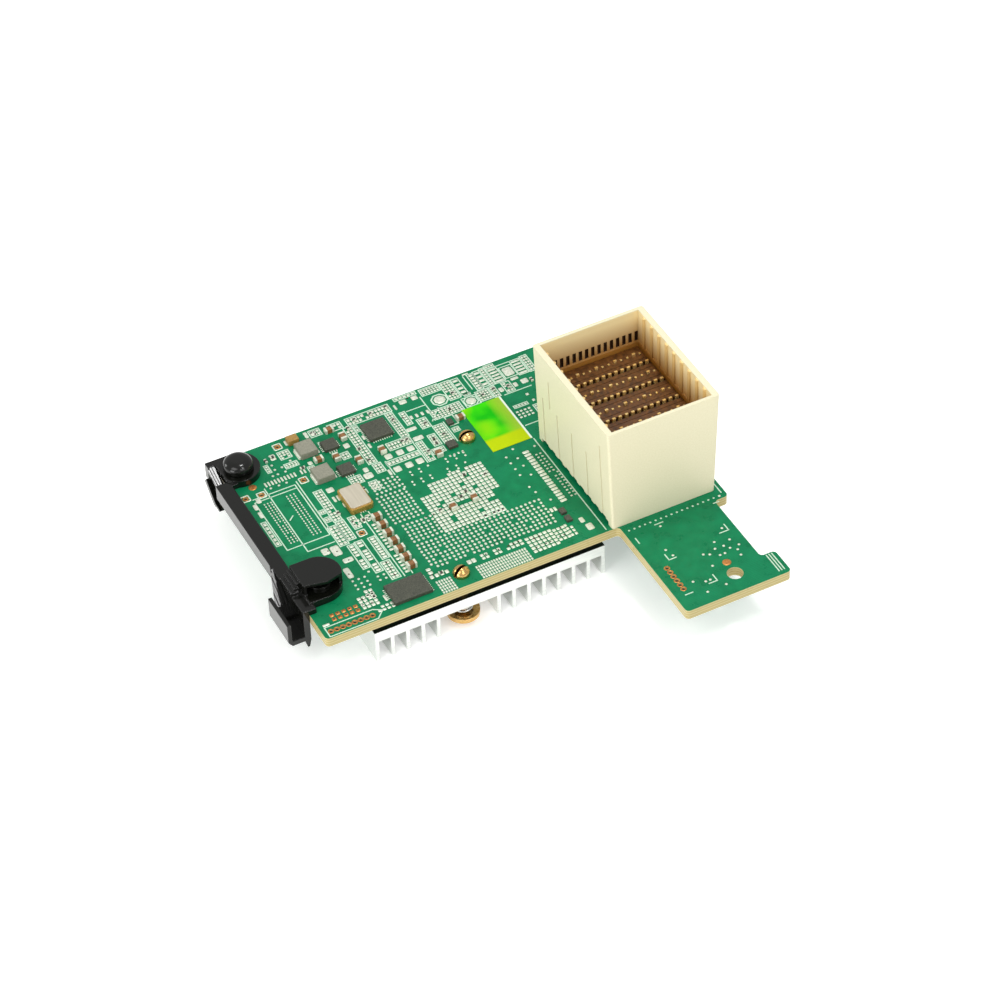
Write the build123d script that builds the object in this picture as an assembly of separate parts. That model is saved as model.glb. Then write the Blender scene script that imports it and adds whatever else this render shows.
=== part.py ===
import os

from build123d import *

# Fibre channel mezzanine card, in millimetres. It is drawn from the front left corner
# of the board's body: +X runs along the front edge, +Y to the back, and Z is zero on
# the board's top face. The last section moves it to its own frame.

# Circuit board
board_thickness = 2.2
board_length = 87.35  # left edge to right edge
body_depth = 56.5  # front edge of the body to the back edge
tab_width = 23.4  # tab in front of the connector, measured from the right edge
tab_reach = 27.1  # tab tip in front of the body's front edge
ear_depth = 6.45  # small ear at the tab's tip
notch_width = 3.25  # edge notch behind the ear, measured across
notch_length = 18.0
board_corner = 0.9
tab_hole_diameter = 3.3
tab_hole_from_tip = 4.75
tab_hole_from_right = 9.95
relief_width = 1.1  # back left corner, cut away for the latch bracket's snap finger
relief_length = 8.2

# Plated holes: a pin header row, a probe column on the tab and five lone test holes
plated_hole_diameter = 0.8
plated_hole_sides = 6  # small holes, and holes that other pieces fill, are drawn with flats
filled_hole_sides = 10
header_pitch = 1.27
header_count = 8
header_start = (1.75, 1.65)
probe_pitch = 1.3
probe_count = 6
probe_from_tab = (2.55, 5.85)  # first hole from the tab's left edge and tip
front_test_hole = (18.8, 23.35)
back_test_holes = [(14.7, 1.95), (2.65, 12.95), (5.95, 13.45), (15.2, 13.55)]  # Y from the back edge

# Controller chip under the board, with its thermal pad
chip_centre = (40.2, 20.7)
chip_side = 31.0
chip_substrate = 1.1
chip_lid_side = 27.0
chip_lid = 1.35
thermal_pad = 0.2

# Heat sink
sink_left = 10.6
sink_front = 1.3
sink_base = 2.5
fin_height = 5.1
fin_count = 16
fin_pitch = 3.333
fin_thickness = 0.8
pin_pocket_width = 8.4  # fins are cut away round each push pin
pin_pocket_depth = 9.0

# Push pins and their springs
pin_offset = (9.4, 17.2)  # from the chip's centre
pin_shank = 2.4
pin_disc = 6.7
pin_disc_thickness = 1.0
pin_barb = 3.4
pin_barb_step = 0.5
pin_crown = 1.0  # flat at the top of the split head
pin_head_height = 1.7
pin_slot = 0.7
pin_slot_floor = 0.2  # above the board
pin_turns = (20, 0)  # the slot's turn on each pin, in degrees
pin_hole_clearance = 0.3
spring_height = 2.15
spring_wire = 0.5
spring_turns = 2
spring_facets = 8  # straight runs in a turn
spring_clearance = 0.35
spring_seat_gap = 0.03

# Connector
contact_pitch = 1.42
contact_columns = 15
row_pitch = 3.03
row_count = 9
wafer_margin = 0.72  # wafer past the outer contacts
wafer_height = 15.9
wafer_gap = 0.12
wafer_fit = 0.2  # wafer stack to shroud, each side
stack_margin = 0.8  # the first and last wafers reach past their rows by this
contact_fit = 0.06
ground_contact_width = 0.66
signal_contact_width = 0.42
contact_thickness = 0.45
ground_tip = 0.55  # tips above the wafer
signal_tip = 0.12
trench_depth = 0.9  # lowered wafer face round a shield row
trench_width = 1.05
trench_end = 0.25
signal_group = 3  # a ground contact every third place in a signal row
shroud_height = 25.0
shroud_side_wall = 0.75  # at the foot
shroud_end_wall = 0.92  # up to the ledge
shroud_flare = 0.85  # each side wall leans out by this from foot to rim
shroud_edge_gap = 1.65  # foot to the board's right edge
shroud_corner = 0.5
ledge_height = 16.9
ledge_end = 0.12  # ledge on the end walls
ledge_side = 0.25
rib_radius = 0.55
rib_sides = 6
rib_below_rim = 0.3
comb_slot_width = 0.78
comb_slot_height = 2.4
comb_slot_depth = 0.55
comb_slot_rise = 0.25
foot_gap = 0.9  # open strip under the side walls
foot_arch = 1.45
foot_arch_sides = 6
foot_length = 1.6
wall_groove = 0.35
wall_groove_depth = 0.2
wall_groove_span = (1.6, 13.2)
upper_groove_span = (12.5, 19.7)

# Latch bracket: a bar on the board's left edge, with an ear at each end
bar_over = 1.5  # bar on the board's top face
bar_out = 1.5  # bar outside the board's left edge
bar_height = 1.2
bar_edge_gap = 0.1
bar_end_from_back = 7.8
ear_height = 1.6
rear_ear_x = 4.7
rear_ear_from_back = 5.25
rear_ear_radius = 4.4
rear_plate_inset = 0.5  # from the board's back edge
rear_strip = 1.6
rear_post_out = 0.7
rear_post_in = 0.9
rear_ramp_top = 0.3  # below the bar's top face
rear_ramp_plate = 0.9
finger_thickness = 1.3
finger_reach = 3.9
finger_drop = 3.5
finger_out = 1.3
finger_in = 0.2
toe_reach = 2.2
toe_thickness = 0.7
front_ear_centre = (4.9, 13.5)
front_ear_radius = 4.6
hood_front = 11.4
hood_left = 0.8
hood_height = 2.4  # above the ear
hood_wall = 0.65
hood_beak = 0.9
flank_steps = 3  # stepped flank between the hood and the hook
flank_front = 12.6
flank_back = 18.0
ramp_back = 21.5
ramp_foot = 1.0
ramp_bend = 3.0  # depth where the ramp steepens into the hook
ramp_end = 1.2
ramp_rib = 0.4
ramp_rib_count = 3
hook_front = 7.5
hook_back = 16.4
hook_width = 4.8
hook_wall = 0.8
hook_floor = 1.1
hook_drop = 6.4
hook_lip = 0.8
hook_tip = 1.8
hook_inner_wall = 1.3
hook_free_end = 1.5  # the outer plate stands free of the ramp by this

# Rivets
rivet_shank = 3.8
rivet_hole_clearance = 0.2
rivet_barb = 4.5
rivet_barb_length = 2.4
rivet_tip = 2.7
rear_dome = 6.2
rear_dome_height = 2.3
rear_dome_round = (1.9, 1.4)  # rounding of the dome, inwards and down
rear_dome_bands = 3  # straight bands of the rounding
front_dome = 5.0
front_dome_height = 0.6

# Parts on the top face: sizes are length along X, width along Y, height. A place is X, then
# Y from the front edge, or from the back edge for what stands near that.
flash_size = (8.1, 5.5, 0.9)
flash_place = (19.7, 4.4)
power_chip_size = (5.2, 5.2, 0.85)
power_chip_from_back = (34.5, 7.55)
transistor_size = (3.1, 3.0, 0.8)
transistors_from_back = [(24.1, 7.0), (23.9, 15.25)]
inductor_size = (3.7, 3.9, 1.55)
inductors_from_back = [(19.25, 6.15), (19.1, 14.45)]
tantalum_size = (2.3, 1.9, 1.3)
tantalum_from_back = (18.05, 2.1)
square_logic_size = (2.0, 2.0, 0.8)
square_logic_from_pin = (-3.7, -0.4)
slim_logic_size = (1.2, 1.6, 0.7)
slim_logic_from_back = (48.6, 12.7)
logic_pair_gap = 5.65  # to the connector's foot
logic_pair_y = (9.2, 6.8)
chip_edge = 0.12
oscillator_from_back = (21.7, 24.2)
oscillator_base = (5.0, 7.0, 1.2)
oscillator_lid = (4.5, 6.3, 0.3)
oscillator_corner = 0.4
label_from_back = (52.3, 10.5)  # the label's back left corner
label_size = (9.0, 14.4)
label_thickness = 0.12

# Ceramic capacitors: a column beside the controller's field, and single ones by place
column_x = 23.15
column_gap = 2.8  # flash chip to the first capacitor's centre
column_end_gap = 1.0  # last capacitor's centre to the oscillator, at least
column_pitch = 2.6
column_capacitor = (2.0, 1.25, 1.2)
small_capacitor = (1.9, 1.2, 0.9)
small_across_from_back = [(20.3, 9.9), (51.1, 12.5), (25.9, 2.9)]
small_along_from_back = [(27.5, 6.1), (27.4, 14.1), (32.8, 13.7), (42.4, 20.1), (23.75, 11.1)]
small_along_field = [(42.7, 21.2), (37.8, 20.9)]
terminal_share = 0.22  # plated end, as a share of the capacitor's length
terminal_skin = 0.04

# Levels and places that follow from the sizes above
board_under = -board_thickness
substrate_under = board_under - chip_substrate
lid_under = substrate_under - chip_lid
sink_top = lid_under - thermal_pad
sink_under = sink_top - sink_base
fin_tips = sink_under - fin_height
sink_length = (fin_count - 1) * fin_pitch + fin_thickness
sink_depth = 2 * (chip_centre[1] - sink_front)
pin_places = [
    (chip_centre[0] - pin_offset[0], chip_centre[1] - pin_offset[1]),
    (chip_centre[0] + pin_offset[0], chip_centre[1] + pin_offset[1]),
]
pin_hole = pin_shank + 2 * pin_hole_clearance
tab_left = board_length - tab_width
bar_back = body_depth - bar_end_from_back
rear_ear_centre = (rear_ear_x, body_depth - rear_ear_from_back)
rear_plate_back = body_depth - rear_plate_inset
disc_top = sink_under - spring_height
rivet_hole = rivet_shank + rivet_hole_clearance

wafer_length = (contact_columns - 1) * contact_pitch + 2 * wafer_margin
wafer_thickness = row_pitch - wafer_gap
pocket_length = wafer_length + 2 * wafer_fit
pocket_depth = row_count * row_pitch + 2 * stack_margin + 2 * wafer_fit
foot_width = pocket_length + 2 * shroud_side_wall
rim_width = foot_width + 2 * shroud_flare
shroud_depth = pocket_depth + 2 * shroud_end_wall
shroud_centre = (board_length - shroud_edge_gap - foot_width / 2, shroud_depth / 2)
cavity_length = pocket_length + 2 * ledge_side
cavity_depth = pocket_depth + 2 * ledge_end
row_places = [(row - (row_count - 1) / 2) * row_pitch for row in range(row_count)]
column_places = [(col - (contact_columns - 1) / 2) * contact_pitch for col in range(contact_columns)]

shroud_left = shroud_centre[0] - foot_width / 2
tab_right = board_length - notch_width
tab_hole_place = (board_length - tab_hole_from_right, tab_hole_from_tip - tab_reach)
hook_left = -bar_edge_gap - hook_width
oscillator_centre = (oscillator_from_back[0], body_depth - oscillator_from_back[1])
column_start = flash_place[1] + flash_size[1] / 2 + column_gap
column_room = oscillator_centre[1] - oscillator_base[1] / 2 - column_end_gap - column_start
column_count = int(column_room / column_pitch) + 1


def box_between(low, high):
    size = [b - a for a, b in zip(low, high)]
    return Pos(*low) * Box(*size, align=(Align.MIN, Align.MIN, Align.MIN))


def from_back(place):
    return (place[0], body_depth - place[1])


def filled_hole(place, diameter):
    return Pos(*place) * RegularPolygon(diameter / 2, filled_hole_sides)


def plate(sketch, low, high):
    return Pos(0, 0, low) * extrude(sketch, high - low)


def rectangle_between(x0, x1, y0, y1):
    return Pos((x0 + x1) / 2, (y0 + y1) / 2) * Rectangle(x1 - x0, y1 - y0)


def side_profile(points, left, right):
    # outline in the YZ plane, carried along X
    face = make_face(Plane.YZ * Polyline(*points, close=True))
    return Pos(left, 0, 0) * extrude(face, right - left, dir=(1, 0, 0))


def strip_outline(start, end, thickness):
    # long box round a straight line, with its far end cut to a blunt point
    along = (Vector(*end) - Vector(*start)).normalized()
    side = along.rotate(Axis.Z, 90) * (thickness / 2)
    near = Vector(*start)
    far = Vector(*end)
    nose = far + along * (thickness / 2)
    points = [near - side, far - side, nose - side * 0.4, nose + side * 0.4, far + side, near + side]
    return [(point.X, point.Y) for point in points]


def front_profile(points, front, back):
    # outline in the XZ plane, carried along Y
    wire = Polyline(*[(x, 0, z) for x, z in points], close=True)
    return Pos(0, front, 0) * extrude(make_face(wire), back - front, dir=(0, 1, 0))


def make_board():
    tip = -tab_reach
    notch_front = tip + ear_depth
    notch_back = notch_front + notch_length
    outline = Polyline(
        (0, 0),
        (tab_left, 0),
        (tab_left, tip),
        (board_length, tip),
        (board_length, notch_front),
        (tab_right, notch_front),
        (tab_right, notch_back),
        (board_length, notch_back),
        (board_length, body_depth),
        (0, body_depth),
        close=True,
    )
    face = make_face(outline)
    face = fillet(face.vertices(), board_corner)
    face -= rectangle_between(0, relief_width, body_depth - relief_length, body_depth)
    for place in pin_places:
        face -= filled_hole(place, pin_hole)
    for place in (rear_ear_centre, front_ear_centre):
        face -= filled_hole(place, rivet_hole)
    face -= Pos(*tab_hole_place) * Circle(tab_hole_diameter / 2)
    header = [(header_start[0] + n * header_pitch, header_start[1]) for n in range(header_count)]
    probe_x = tab_left + probe_from_tab[0]
    probe_y = probe_from_tab[1] - tab_reach
    probes = [(probe_x, probe_y + n * probe_pitch) for n in range(probe_count)]
    tests = [front_test_hole] + [from_back(place) for place in back_test_holes]
    for place in header + probes + tests:
        face -= Pos(*place) * RegularPolygon(plated_hole_diameter / 2, plated_hole_sides)
    return plate(face, board_under, 0)


def make_heat_sink():
    comb = Pos(sink_left + sink_length / 2, sink_top - sink_base / 2) * Rectangle(sink_length, sink_base)
    for n in range(fin_count):
        centre = sink_left + fin_thickness / 2 + n * fin_pitch
        comb += Pos(centre, sink_under - fin_height / 2) * Rectangle(fin_thickness, fin_height)
    sink = Plane.XZ * extrude(comb, -sink_depth)
    sink = Pos(0, sink_front, 0) * sink
    front, back = pin_places
    half = pin_pocket_width / 2
    sink_back = sink_front + sink_depth
    sink -= box_between(
        (front[0] - half, sink_front, fin_tips),
        (front[0] + half, sink_front + pin_pocket_depth, sink_under),
    )
    sink -= box_between(
        (back[0] - half, sink_back - pin_pocket_depth, fin_tips),
        (back[0] + half, sink_back, sink_under),
    )
    for place in pin_places:
        sink -= plate(filled_hole(place, pin_hole), sink_under, sink_top)
    return sink


def make_push_pin(place, turn):
    # brass pin: disc head below, shank that fills the holes, and a split barbed head above the board
    profile = Polyline(
        (0, 0),
        (pin_barb / 2, 0),
        (pin_barb / 2, pin_barb_step),
        (pin_crown / 2, pin_head_height),
        (0, pin_head_height),
        close=True,
    )
    head = revolve(Plane.XZ * make_face(profile), Axis.Z)
    head -= box_between((-pin_barb, -pin_slot / 2, pin_slot_floor), (pin_barb, pin_slot / 2, pin_head_height))
    pin = head + plate(RegularPolygon(pin_shank / 2, filled_hole_sides), disc_top, 0)
    pin += plate(Circle(pin_disc / 2), disc_top - pin_disc_thickness, disc_top)
    return Pos(*place) * Rot(0, 0, turn) * pin


def make_spring(place):
    # coil of straight runs between the pin's disc and the heat sink
    coil_radius = pin_shank / 2 + spring_clearance + spring_wire / 2
    low = disc_top + spring_wire / 2 + spring_seat_gap
    travel = spring_height - spring_wire - 2 * spring_seat_gap
    runs = spring_turns * spring_facets
    points = []
    for n in range(runs + 1):
        around = Vector(coil_radius, 0, low + travel * n / runs).rotate(Axis.Z, 360 * n / spring_facets)
        points.append(around)
    path = Polyline(*points)
    section = Plane(origin=path @ 0, z_dir=path % 0) * RegularPolygon(spring_wire / 2, 6)
    coil = sweep(section, path=path, transition=Transition.RIGHT)
    return Pos(*place) * coil


def shroud_block(inset):
    # block whose side walls lean out from foot to rim
    foot = foot_width / 2 - inset
    rim = rim_width / 2 - inset
    outline = [(-foot, 0), (foot, 0), (rim, shroud_height), (-rim, shroud_height)]
    return front_profile(outline, inset - shroud_depth / 2, shroud_depth / 2 - inset)


def make_shroud():
    block = shroud_block(0)
    upright = block.edges().filter_by(lambda edge: abs(edge.tangent_at(0.5).Z) > 0.9)
    shroud = fillet(upright, shroud_corner)
    shroud -= box_between(
        (-cavity_length / 2, -cavity_depth / 2, ledge_height),
        (cavity_length / 2, cavity_depth / 2, shroud_height),
    )
    shroud -= box_between(
        (-pocket_length / 2, -pocket_depth / 2, 0),
        (pocket_length / 2, pocket_depth / 2, ledge_height),
    )
    # guide ribs on the two side walls, one for each contact row
    rib = plate(RegularPolygon(rib_radius, rib_sides), ledge_height, shroud_height - rib_below_rim)
    for y in row_places:
        for x in (-cavity_length / 2, cavity_length / 2):
            shroud += Pos(x, y, 0) * rib
    # comb of slots just above the ledge, between the contact columns
    slot_low = ledge_height + comb_slot_rise
    for n in range(contact_columns + 1):
        x = column_places[0] + (n - 0.5) * contact_pitch
        for sign in (-1, 1):
            wall = sign * cavity_depth / 2
            shroud -= box_between(
                (x - comb_slot_width / 2, min(wall, wall + sign * comb_slot_depth), slot_low),
                (x + comb_slot_width / 2, max(wall, wall + sign * comb_slot_depth), slot_low + comb_slot_height),
            )
    # open strip and arches under the side walls, between the corner feet
    reach = rim_width
    foot_end = shroud_depth / 2 - foot_length
    for sign in (-1, 1):
        inner = sign * pocket_length / 2
        outer = sign * reach / 2
        shroud -= box_between(
            (min(inner, outer), -foot_end, 0),
            (max(inner, outer), foot_end, foot_gap),
        )
    arch = extrude(Plane.YZ * RegularPolygon(foot_arch, foot_arch_sides), reach / 2, both=True)
    for y in row_places:
        shroud -= Pos(0, y, 0) * arch
    # shallow upright grooves on the leaning side walls
    skin = shroud_block(0) - shroud_block(wall_groove_depth)
    grooves = [(y, wall_groove_span) for y in row_places[::2]]
    grooves += [(row_places[0], upper_groove_span), (row_places[-2], upper_groove_span)]
    for y, (low, high) in grooves:
        strip = box_between(
            (-reach / 2, y + wall_groove / 2, low),
            (reach / 2, y + 3 * wall_groove / 2, high),
        )
        shroud -= skin & strip
    return Pos(*shroud_centre) * shroud


def is_shield_row(row):
    return row % 2 == 1


def is_ground(row, column):
    return is_shield_row(row) or column % signal_group == 1


def contact_width(row, column):
    return ground_contact_width if is_ground(row, column) else signal_contact_width


def make_wafer(row):
    # insulating plate: its contacts stand in single slots, or in one long trench in a shield row
    front = -wafer_thickness / 2
    back = wafer_thickness / 2
    if row == 0:
        front -= stack_margin
    if row == row_count - 1:
        back += stack_margin
    outline = rectangle_between(-wafer_length / 2, wafer_length / 2, front, back)
    slot_depth = contact_thickness + 2 * contact_fit
    slot_reach = column_places[-1] + ground_contact_width / 2 + trench_end
    if is_shield_row(row):
        outline -= Rectangle(2 * slot_reach, slot_depth)
    else:
        for column, x in enumerate(column_places):
            width = contact_width(row, column) + 2 * contact_fit
            outline -= Pos(x, 0) * Rectangle(width, slot_depth)
    wafer = extrude(outline, wafer_height)
    if is_shield_row(row):
        wafer -= box_between(
            (-slot_reach, -trench_width / 2, wafer_height - trench_depth),
            (slot_reach, trench_width / 2, wafer_height),
        )
    return Pos(shroud_centre[0], shroud_centre[1] + row_places[row], 0) * wafer


def make_contacts(row):
    half = contact_thickness / 2
    group = []
    for column, x in enumerate(column_places):
        width = contact_width(row, column)
        tip = ground_tip if is_ground(row, column) else signal_tip
        blade = box_between(
            (x - width / 2, -half, 0),
            (x + width / 2, half, wafer_height + tip),
        )
        group.append(Pos(shroud_centre[0], shroud_centre[1] + row_places[row], 0) * blade)
    return Compound(children=group)


def make_rear_end():
    # post, ribbed ramp and snap finger in the board's cut-away back corner
    post_front = rear_plate_back - rear_strip
    end = box_between(
        (-rear_post_out, post_front, board_under),
        (rear_post_in, rear_plate_back, bar_height),
    )
    top = bar_height - rear_ramp_top
    low = board_under + rear_ramp_plate
    ramp = [
        (post_front + rear_ramp_top, top),
        (bar_back, low),
        (bar_back - rear_ramp_top, low),
        (bar_back - rear_ramp_top, board_under),
        (post_front + rear_ramp_top, top - rear_ramp_plate),
    ]
    end += side_profile(ramp, -rear_post_out, rear_post_in)
    # ribs rooted inside the ramp
    rib = [
        (post_front + rear_ramp_top, top - rear_ramp_top),
        (post_front + rear_ramp_top, bar_height),
        (bar_back - rear_ramp_top, low + rear_ramp_top),
        (bar_back - rear_ramp_top, low - rear_ramp_top),
    ]
    width = rear_post_out + rear_post_in
    for n in (1, 2):
        x = n * width / 3 - rear_post_out
        end += side_profile(rib, x - ramp_rib / 2, x + ramp_rib / 2)
    root = (post_front + finger_thickness / 2, board_under)
    tip = (root[0] - finger_reach, root[1] - finger_drop)
    end += side_profile(strip_outline(root, tip, finger_thickness), -finger_out, finger_in)
    toe = (tip[0] - toe_reach, tip[1])
    end += side_profile(strip_outline(tip, toe, toe_thickness), -finger_out, finger_in)
    return end


def make_hook():
    # trough at the front, a U in section, open to the front and above
    right = -bar_edge_gap
    inner = right - hook_inner_wall
    floor_top = hook_floor - hook_drop
    trough = [
        (hook_left, -hook_lip),
        (hook_left, floor_top),
        (hook_left + hook_wall, -hook_drop),
        (inner, -hook_drop),
        (inner + hook_inner_wall / 3, -hook_drop - hook_tip),
        (right - hook_inner_wall / 3, -hook_drop - hook_tip),
        (right, -hook_drop),
        (right, bar_height),
        (inner, bar_height),
        (inner, floor_top),
        (hook_left + hook_wall, floor_top),
        (hook_left + hook_wall, -hook_lip),
    ]
    hook = front_profile(trough, hook_front, hook_back)
    hook += box_between((inner, hook_front, board_under), (right, ramp_back, bar_height))

    # ramp that closes the trough's back and rises to the bar, with ribs on its face
    ramp_front = hook_back - ramp_foot
    ramp = [
        (ramp_back, bar_height),
        (ramp_front, -ramp_bend),
        (ramp_front - ramp_foot, floor_top),
        (ramp_front - ramp_foot, -hook_drop),
        (hook_back, -hook_drop),
        (hook_back, floor_top),
        (ramp_back + ramp_end, board_under),
        (ramp_back + ramp_end, bar_height),
    ]
    body = side_profile(ramp, hook_left, right)
    rib = [
        (ramp_back + ramp_rib, bar_height),
        (ramp_back + ramp_rib, bar_height - ramp_rib),
        (ramp_front + ramp_rib, -ramp_bend - ramp_rib),
        (ramp_front, ramp_rib - ramp_bend),
        (ramp_back - 2 * ramp_rib, bar_height),
    ]
    for n in range(ramp_rib_count):
        x = inner - ramp_rib - n * (hook_width - hook_inner_wall) / (ramp_rib_count + 1)
        body += side_profile(rib, x - ramp_rib, x)
    flare = Polyline(
        (hook_left + hook_wall, hook_front),
        (right, hook_front),
        (right, ramp_back + ramp_end),
        (-bar_out, ramp_back + ramp_end),
        (hook_left + hook_wall, hook_back - hook_free_end),
        close=True,
    )
    return hook + (body & plate(make_face(flare), -hook_drop - hook_tip, bar_height))


def make_hood(ear):
    # cover over the back of the front ear, open to the front, with a stepped flank to the hook
    x, y = front_ear_centre
    beyond = front_ear_radius + hood_wall
    shell = ear & rectangle_between(hood_left, x + beyond, hood_front, y + beyond)
    room_radius = front_ear_radius - hood_wall
    room = Pos(x, y) * Circle(room_radius)
    room += rectangle_between(hood_left + hood_wall, x, hood_front, y + room_radius)
    room &= rectangle_between(hood_left + hood_wall, x + beyond, hood_front, y + beyond)
    roof_top = ear_height + hood_height
    roof_low = roof_top - hood_wall
    hood = plate(shell, ear_height, roof_top)
    hood -= plate(room, ear_height, roof_low)
    beak = Polyline(
        (hood_left + hood_wall, hood_front),
        (x + hood_wall, hood_front - hood_beak),
        (x + room_radius, hood_front),
        close=True,
    )
    hood += plate(make_face(beak), roof_low, roof_top)
    inner = -bar_edge_gap - hook_inner_wall
    step_x = (hood_left - inner) / flank_steps
    step_z = (roof_top - bar_height) / (flank_steps + 1)
    for n in range(flank_steps):
        hood += box_between(
            (inner + n * step_x, flank_front + n * ramp_rib, bar_height),
            (hood_left + hood_wall / 2, flank_back, bar_height + (n + 1) * step_z),
        )
    return hood


def make_latch():
    # top plates that lie on the board
    bar = rectangle_between(-bar_out, bar_over, ramp_back, bar_back)
    bar += rectangle_between(-bar_edge_gap - hook_inner_wall, bar_over, hook_front, ramp_back)
    bar += rectangle_between(-rear_post_out, rear_ear_x, bar_back - bar_over, rear_plate_back)
    bar -= rectangle_between(-bar_out, rear_post_in, bar_back, rear_plate_back - rear_strip)
    x, y = front_ear_centre
    front_ear = Pos(x, y) * Circle(front_ear_radius)
    front_ear += rectangle_between(hood_left, x, y - front_ear_radius, y + front_ear_radius)
    rear_ear = Pos(*rear_ear_centre) * Circle(rear_ear_radius)
    rear_ear -= rectangle_between(-bar_out, rear_post_in, bar_back - bar_over, rear_plate_back)
    latch = plate(bar, 0, bar_height)
    latch += plate(front_ear, 0, ear_height)
    latch += plate(rear_ear, 0, ear_height)
    # skirt outside the board's edge
    latch += box_between(
        (-bar_out, ramp_back, board_under),
        (-bar_edge_gap, bar_back, bar_height),
    )
    latch += make_rear_end()
    latch += make_hook()
    latch += make_hood(front_ear)
    for place in (rear_ear_centre, front_ear_centre):
        latch -= plate(filled_hole(place, rivet_hole), 0, ear_height)
    return latch


def dome_outline():
    # half outline of the rear rivet's rounded head
    top = ear_height + rear_dome_height
    inwards, down = rear_dome_round
    points = [(0, ear_height), (rear_dome / 2, ear_height)]
    for n in range(rear_dome_bands + 1):
        turn = Vector(1, 0).rotate(Axis.Z, 90 * n / rear_dome_bands)
        points.append((rear_dome / 2 - inwards * (1 - turn.X), top - down * (1 - turn.Y)))
    return points + [(0, top)]


def flat_head_outline():
    top = ear_height + front_dome_height
    return [(0, ear_height), (front_dome / 2, ear_height), (front_dome / 2, top), (0, top)]


def make_rivet(place, head_outline):
    # snap rivet: turned head on the ear, shank that fills ear and board, tapered barb below
    rivet = revolve(Plane.XZ * make_face(Polyline(*head_outline, close=True)), Axis.Z)
    rivet += plate(RegularPolygon(rivet_shank / 2, filled_hole_sides), board_under, ear_height)
    root = Pos(0, 0, board_under) * RegularPolygon(rivet_barb / 2, filled_hole_sides)
    tip = Pos(0, 0, board_under - rivet_barb_length) * RegularPolygon(rivet_tip / 2, filled_hole_sides)
    rivet += loft([root, tip], ruled=True)
    return Pos(*place) * rivet


def make_chip(centre, length, width, height):
    body = Pos(*centre, height / 2) * Box(length, width, height)
    return chamfer(body.edges().group_by(Axis.Z)[-1], chip_edge)


def make_chips(places, size):
    return Compound(children=[make_chip(place, *size) for place in places])


def make_logic_chips():
    back_pin = pin_places[1]
    square_place = (back_pin[0] + square_logic_from_pin[0], back_pin[1] + square_logic_from_pin[1])
    chips = [
        make_chip(square_place, *square_logic_size),
        make_chip(from_back(slim_logic_from_back), *slim_logic_size),
    ]
    pair_x = shroud_left - logic_pair_gap - slim_logic_size[0] / 2
    for y in logic_pair_y:
        chips.append(make_chip((pair_x, y), *slim_logic_size))
    return Compound(children=chips)


def make_oscillator():
    length, width, height = oscillator_base
    body = Pos(*oscillator_centre, height / 2) * Box(length, width, height)
    body = chamfer(body.edges().filter_by(Axis.Z), oscillator_corner)
    lid_length, lid_width, lid_height = oscillator_lid
    lid = Pos(*oscillator_centre, height + lid_height / 2) * Box(lid_length, lid_width, lid_height)
    lid = chamfer(lid.edges().filter_by(Axis.Z), oscillator_corner)
    return body, lid


def make_capacitor(centre, size, along_y):
    # ceramic body between two plated ends that stand a skin proud of it
    length, width, height = size
    end = length * terminal_share
    body = box_between(
        (end - length / 2, -width / 2, terminal_skin),
        (length / 2 - end, width / 2, height),
    )
    ends = []
    for low in (-length / 2, length / 2 - end):
        ends.append(
            box_between(
                (low, -width / 2 - terminal_skin, 0),
                (low + end, width / 2 + terminal_skin, height + terminal_skin),
            )
        )
    turn = Pos(*centre) * Rot(0, 0, 90 if along_y else 0)
    return turn * body, [turn * piece for piece in ends]


def make_capacitors():
    bodies = []
    terminals = []
    column = [(column_x, column_start + n * column_pitch) for n in range(column_count)]
    across = [from_back(place) for place in small_across_from_back]
    along = [from_back(place) for place in small_along_from_back] + small_along_field
    sets = (
        (column, column_capacitor, False),
        (across, small_capacitor, False),
        (along, small_capacitor, True),
    )
    for places, size, along_y in sets:
        for place in places:
            body, ends = make_capacitor(place, size, along_y)
            bodies.append(body)
            terminals.extend(ends)
    return Compound(children=bodies), Compound(children=terminals)


def make_label():
    x, y = from_back(label_from_back)
    length, width = label_size
    return box_between((x, y - width, 0), (x + length, y, label_thickness))


parts = {
    "circuit_board": make_board(),
    "heat_sink": make_heat_sink(),
    "connector_shroud": make_shroud(),
    "latch_bracket": make_latch(),
    "rear_rivet": make_rivet(rear_ear_centre, dome_outline()),
    "front_rivet": make_rivet(front_ear_centre, flat_head_outline()),
    "flash_memory_chip": make_chip(flash_place, *flash_size),
    "power_controller_chip": make_chip(from_back(power_chip_from_back), *power_chip_size),
    "power_transistors": make_chips(map(from_back, transistors_from_back), transistor_size),
    "power_inductors": make_chips(map(from_back, inductors_from_back), inductor_size),
    "logic_chips": make_logic_chips(),
    "tantalum_capacitor": make_chip(from_back(tantalum_from_back), *tantalum_size),
    "colour_label": make_label(),
}
for name, place, turn in zip(("front", "back"), pin_places, pin_turns):
    parts[name + "_push_pin"] = make_push_pin(place, turn)
    parts[name + "_spring"] = make_spring(place)
for row in range(row_count):
    parts["contact_wafer_%d" % (row + 1)] = make_wafer(row)
    parts["contact_row_%d" % (row + 1)] = make_contacts(row)
parts["oscillator_base"], parts["oscillator_lid"] = make_oscillator()
parts["capacitor_bodies"], parts["capacitor_terminals"] = make_capacitors()

half_chip = chip_side / 2
half_lid = chip_lid_side / 2
chip_x, chip_y = chip_centre
parts["controller_substrate"] = box_between(
    (chip_x - half_chip, chip_y - half_chip, substrate_under),
    (chip_x + half_chip, chip_y + half_chip, board_under),
)
parts["controller_lid"] = box_between(
    (chip_x - half_lid, chip_y - half_lid, lid_under),
    (chip_x + half_lid, chip_y + half_lid, substrate_under),
)
parts["thermal_pad"] = box_between(
    (chip_x - half_lid, chip_y - half_lid, sink_top),
    (chip_x + half_lid, chip_y + half_lid, lid_under),
)

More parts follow.
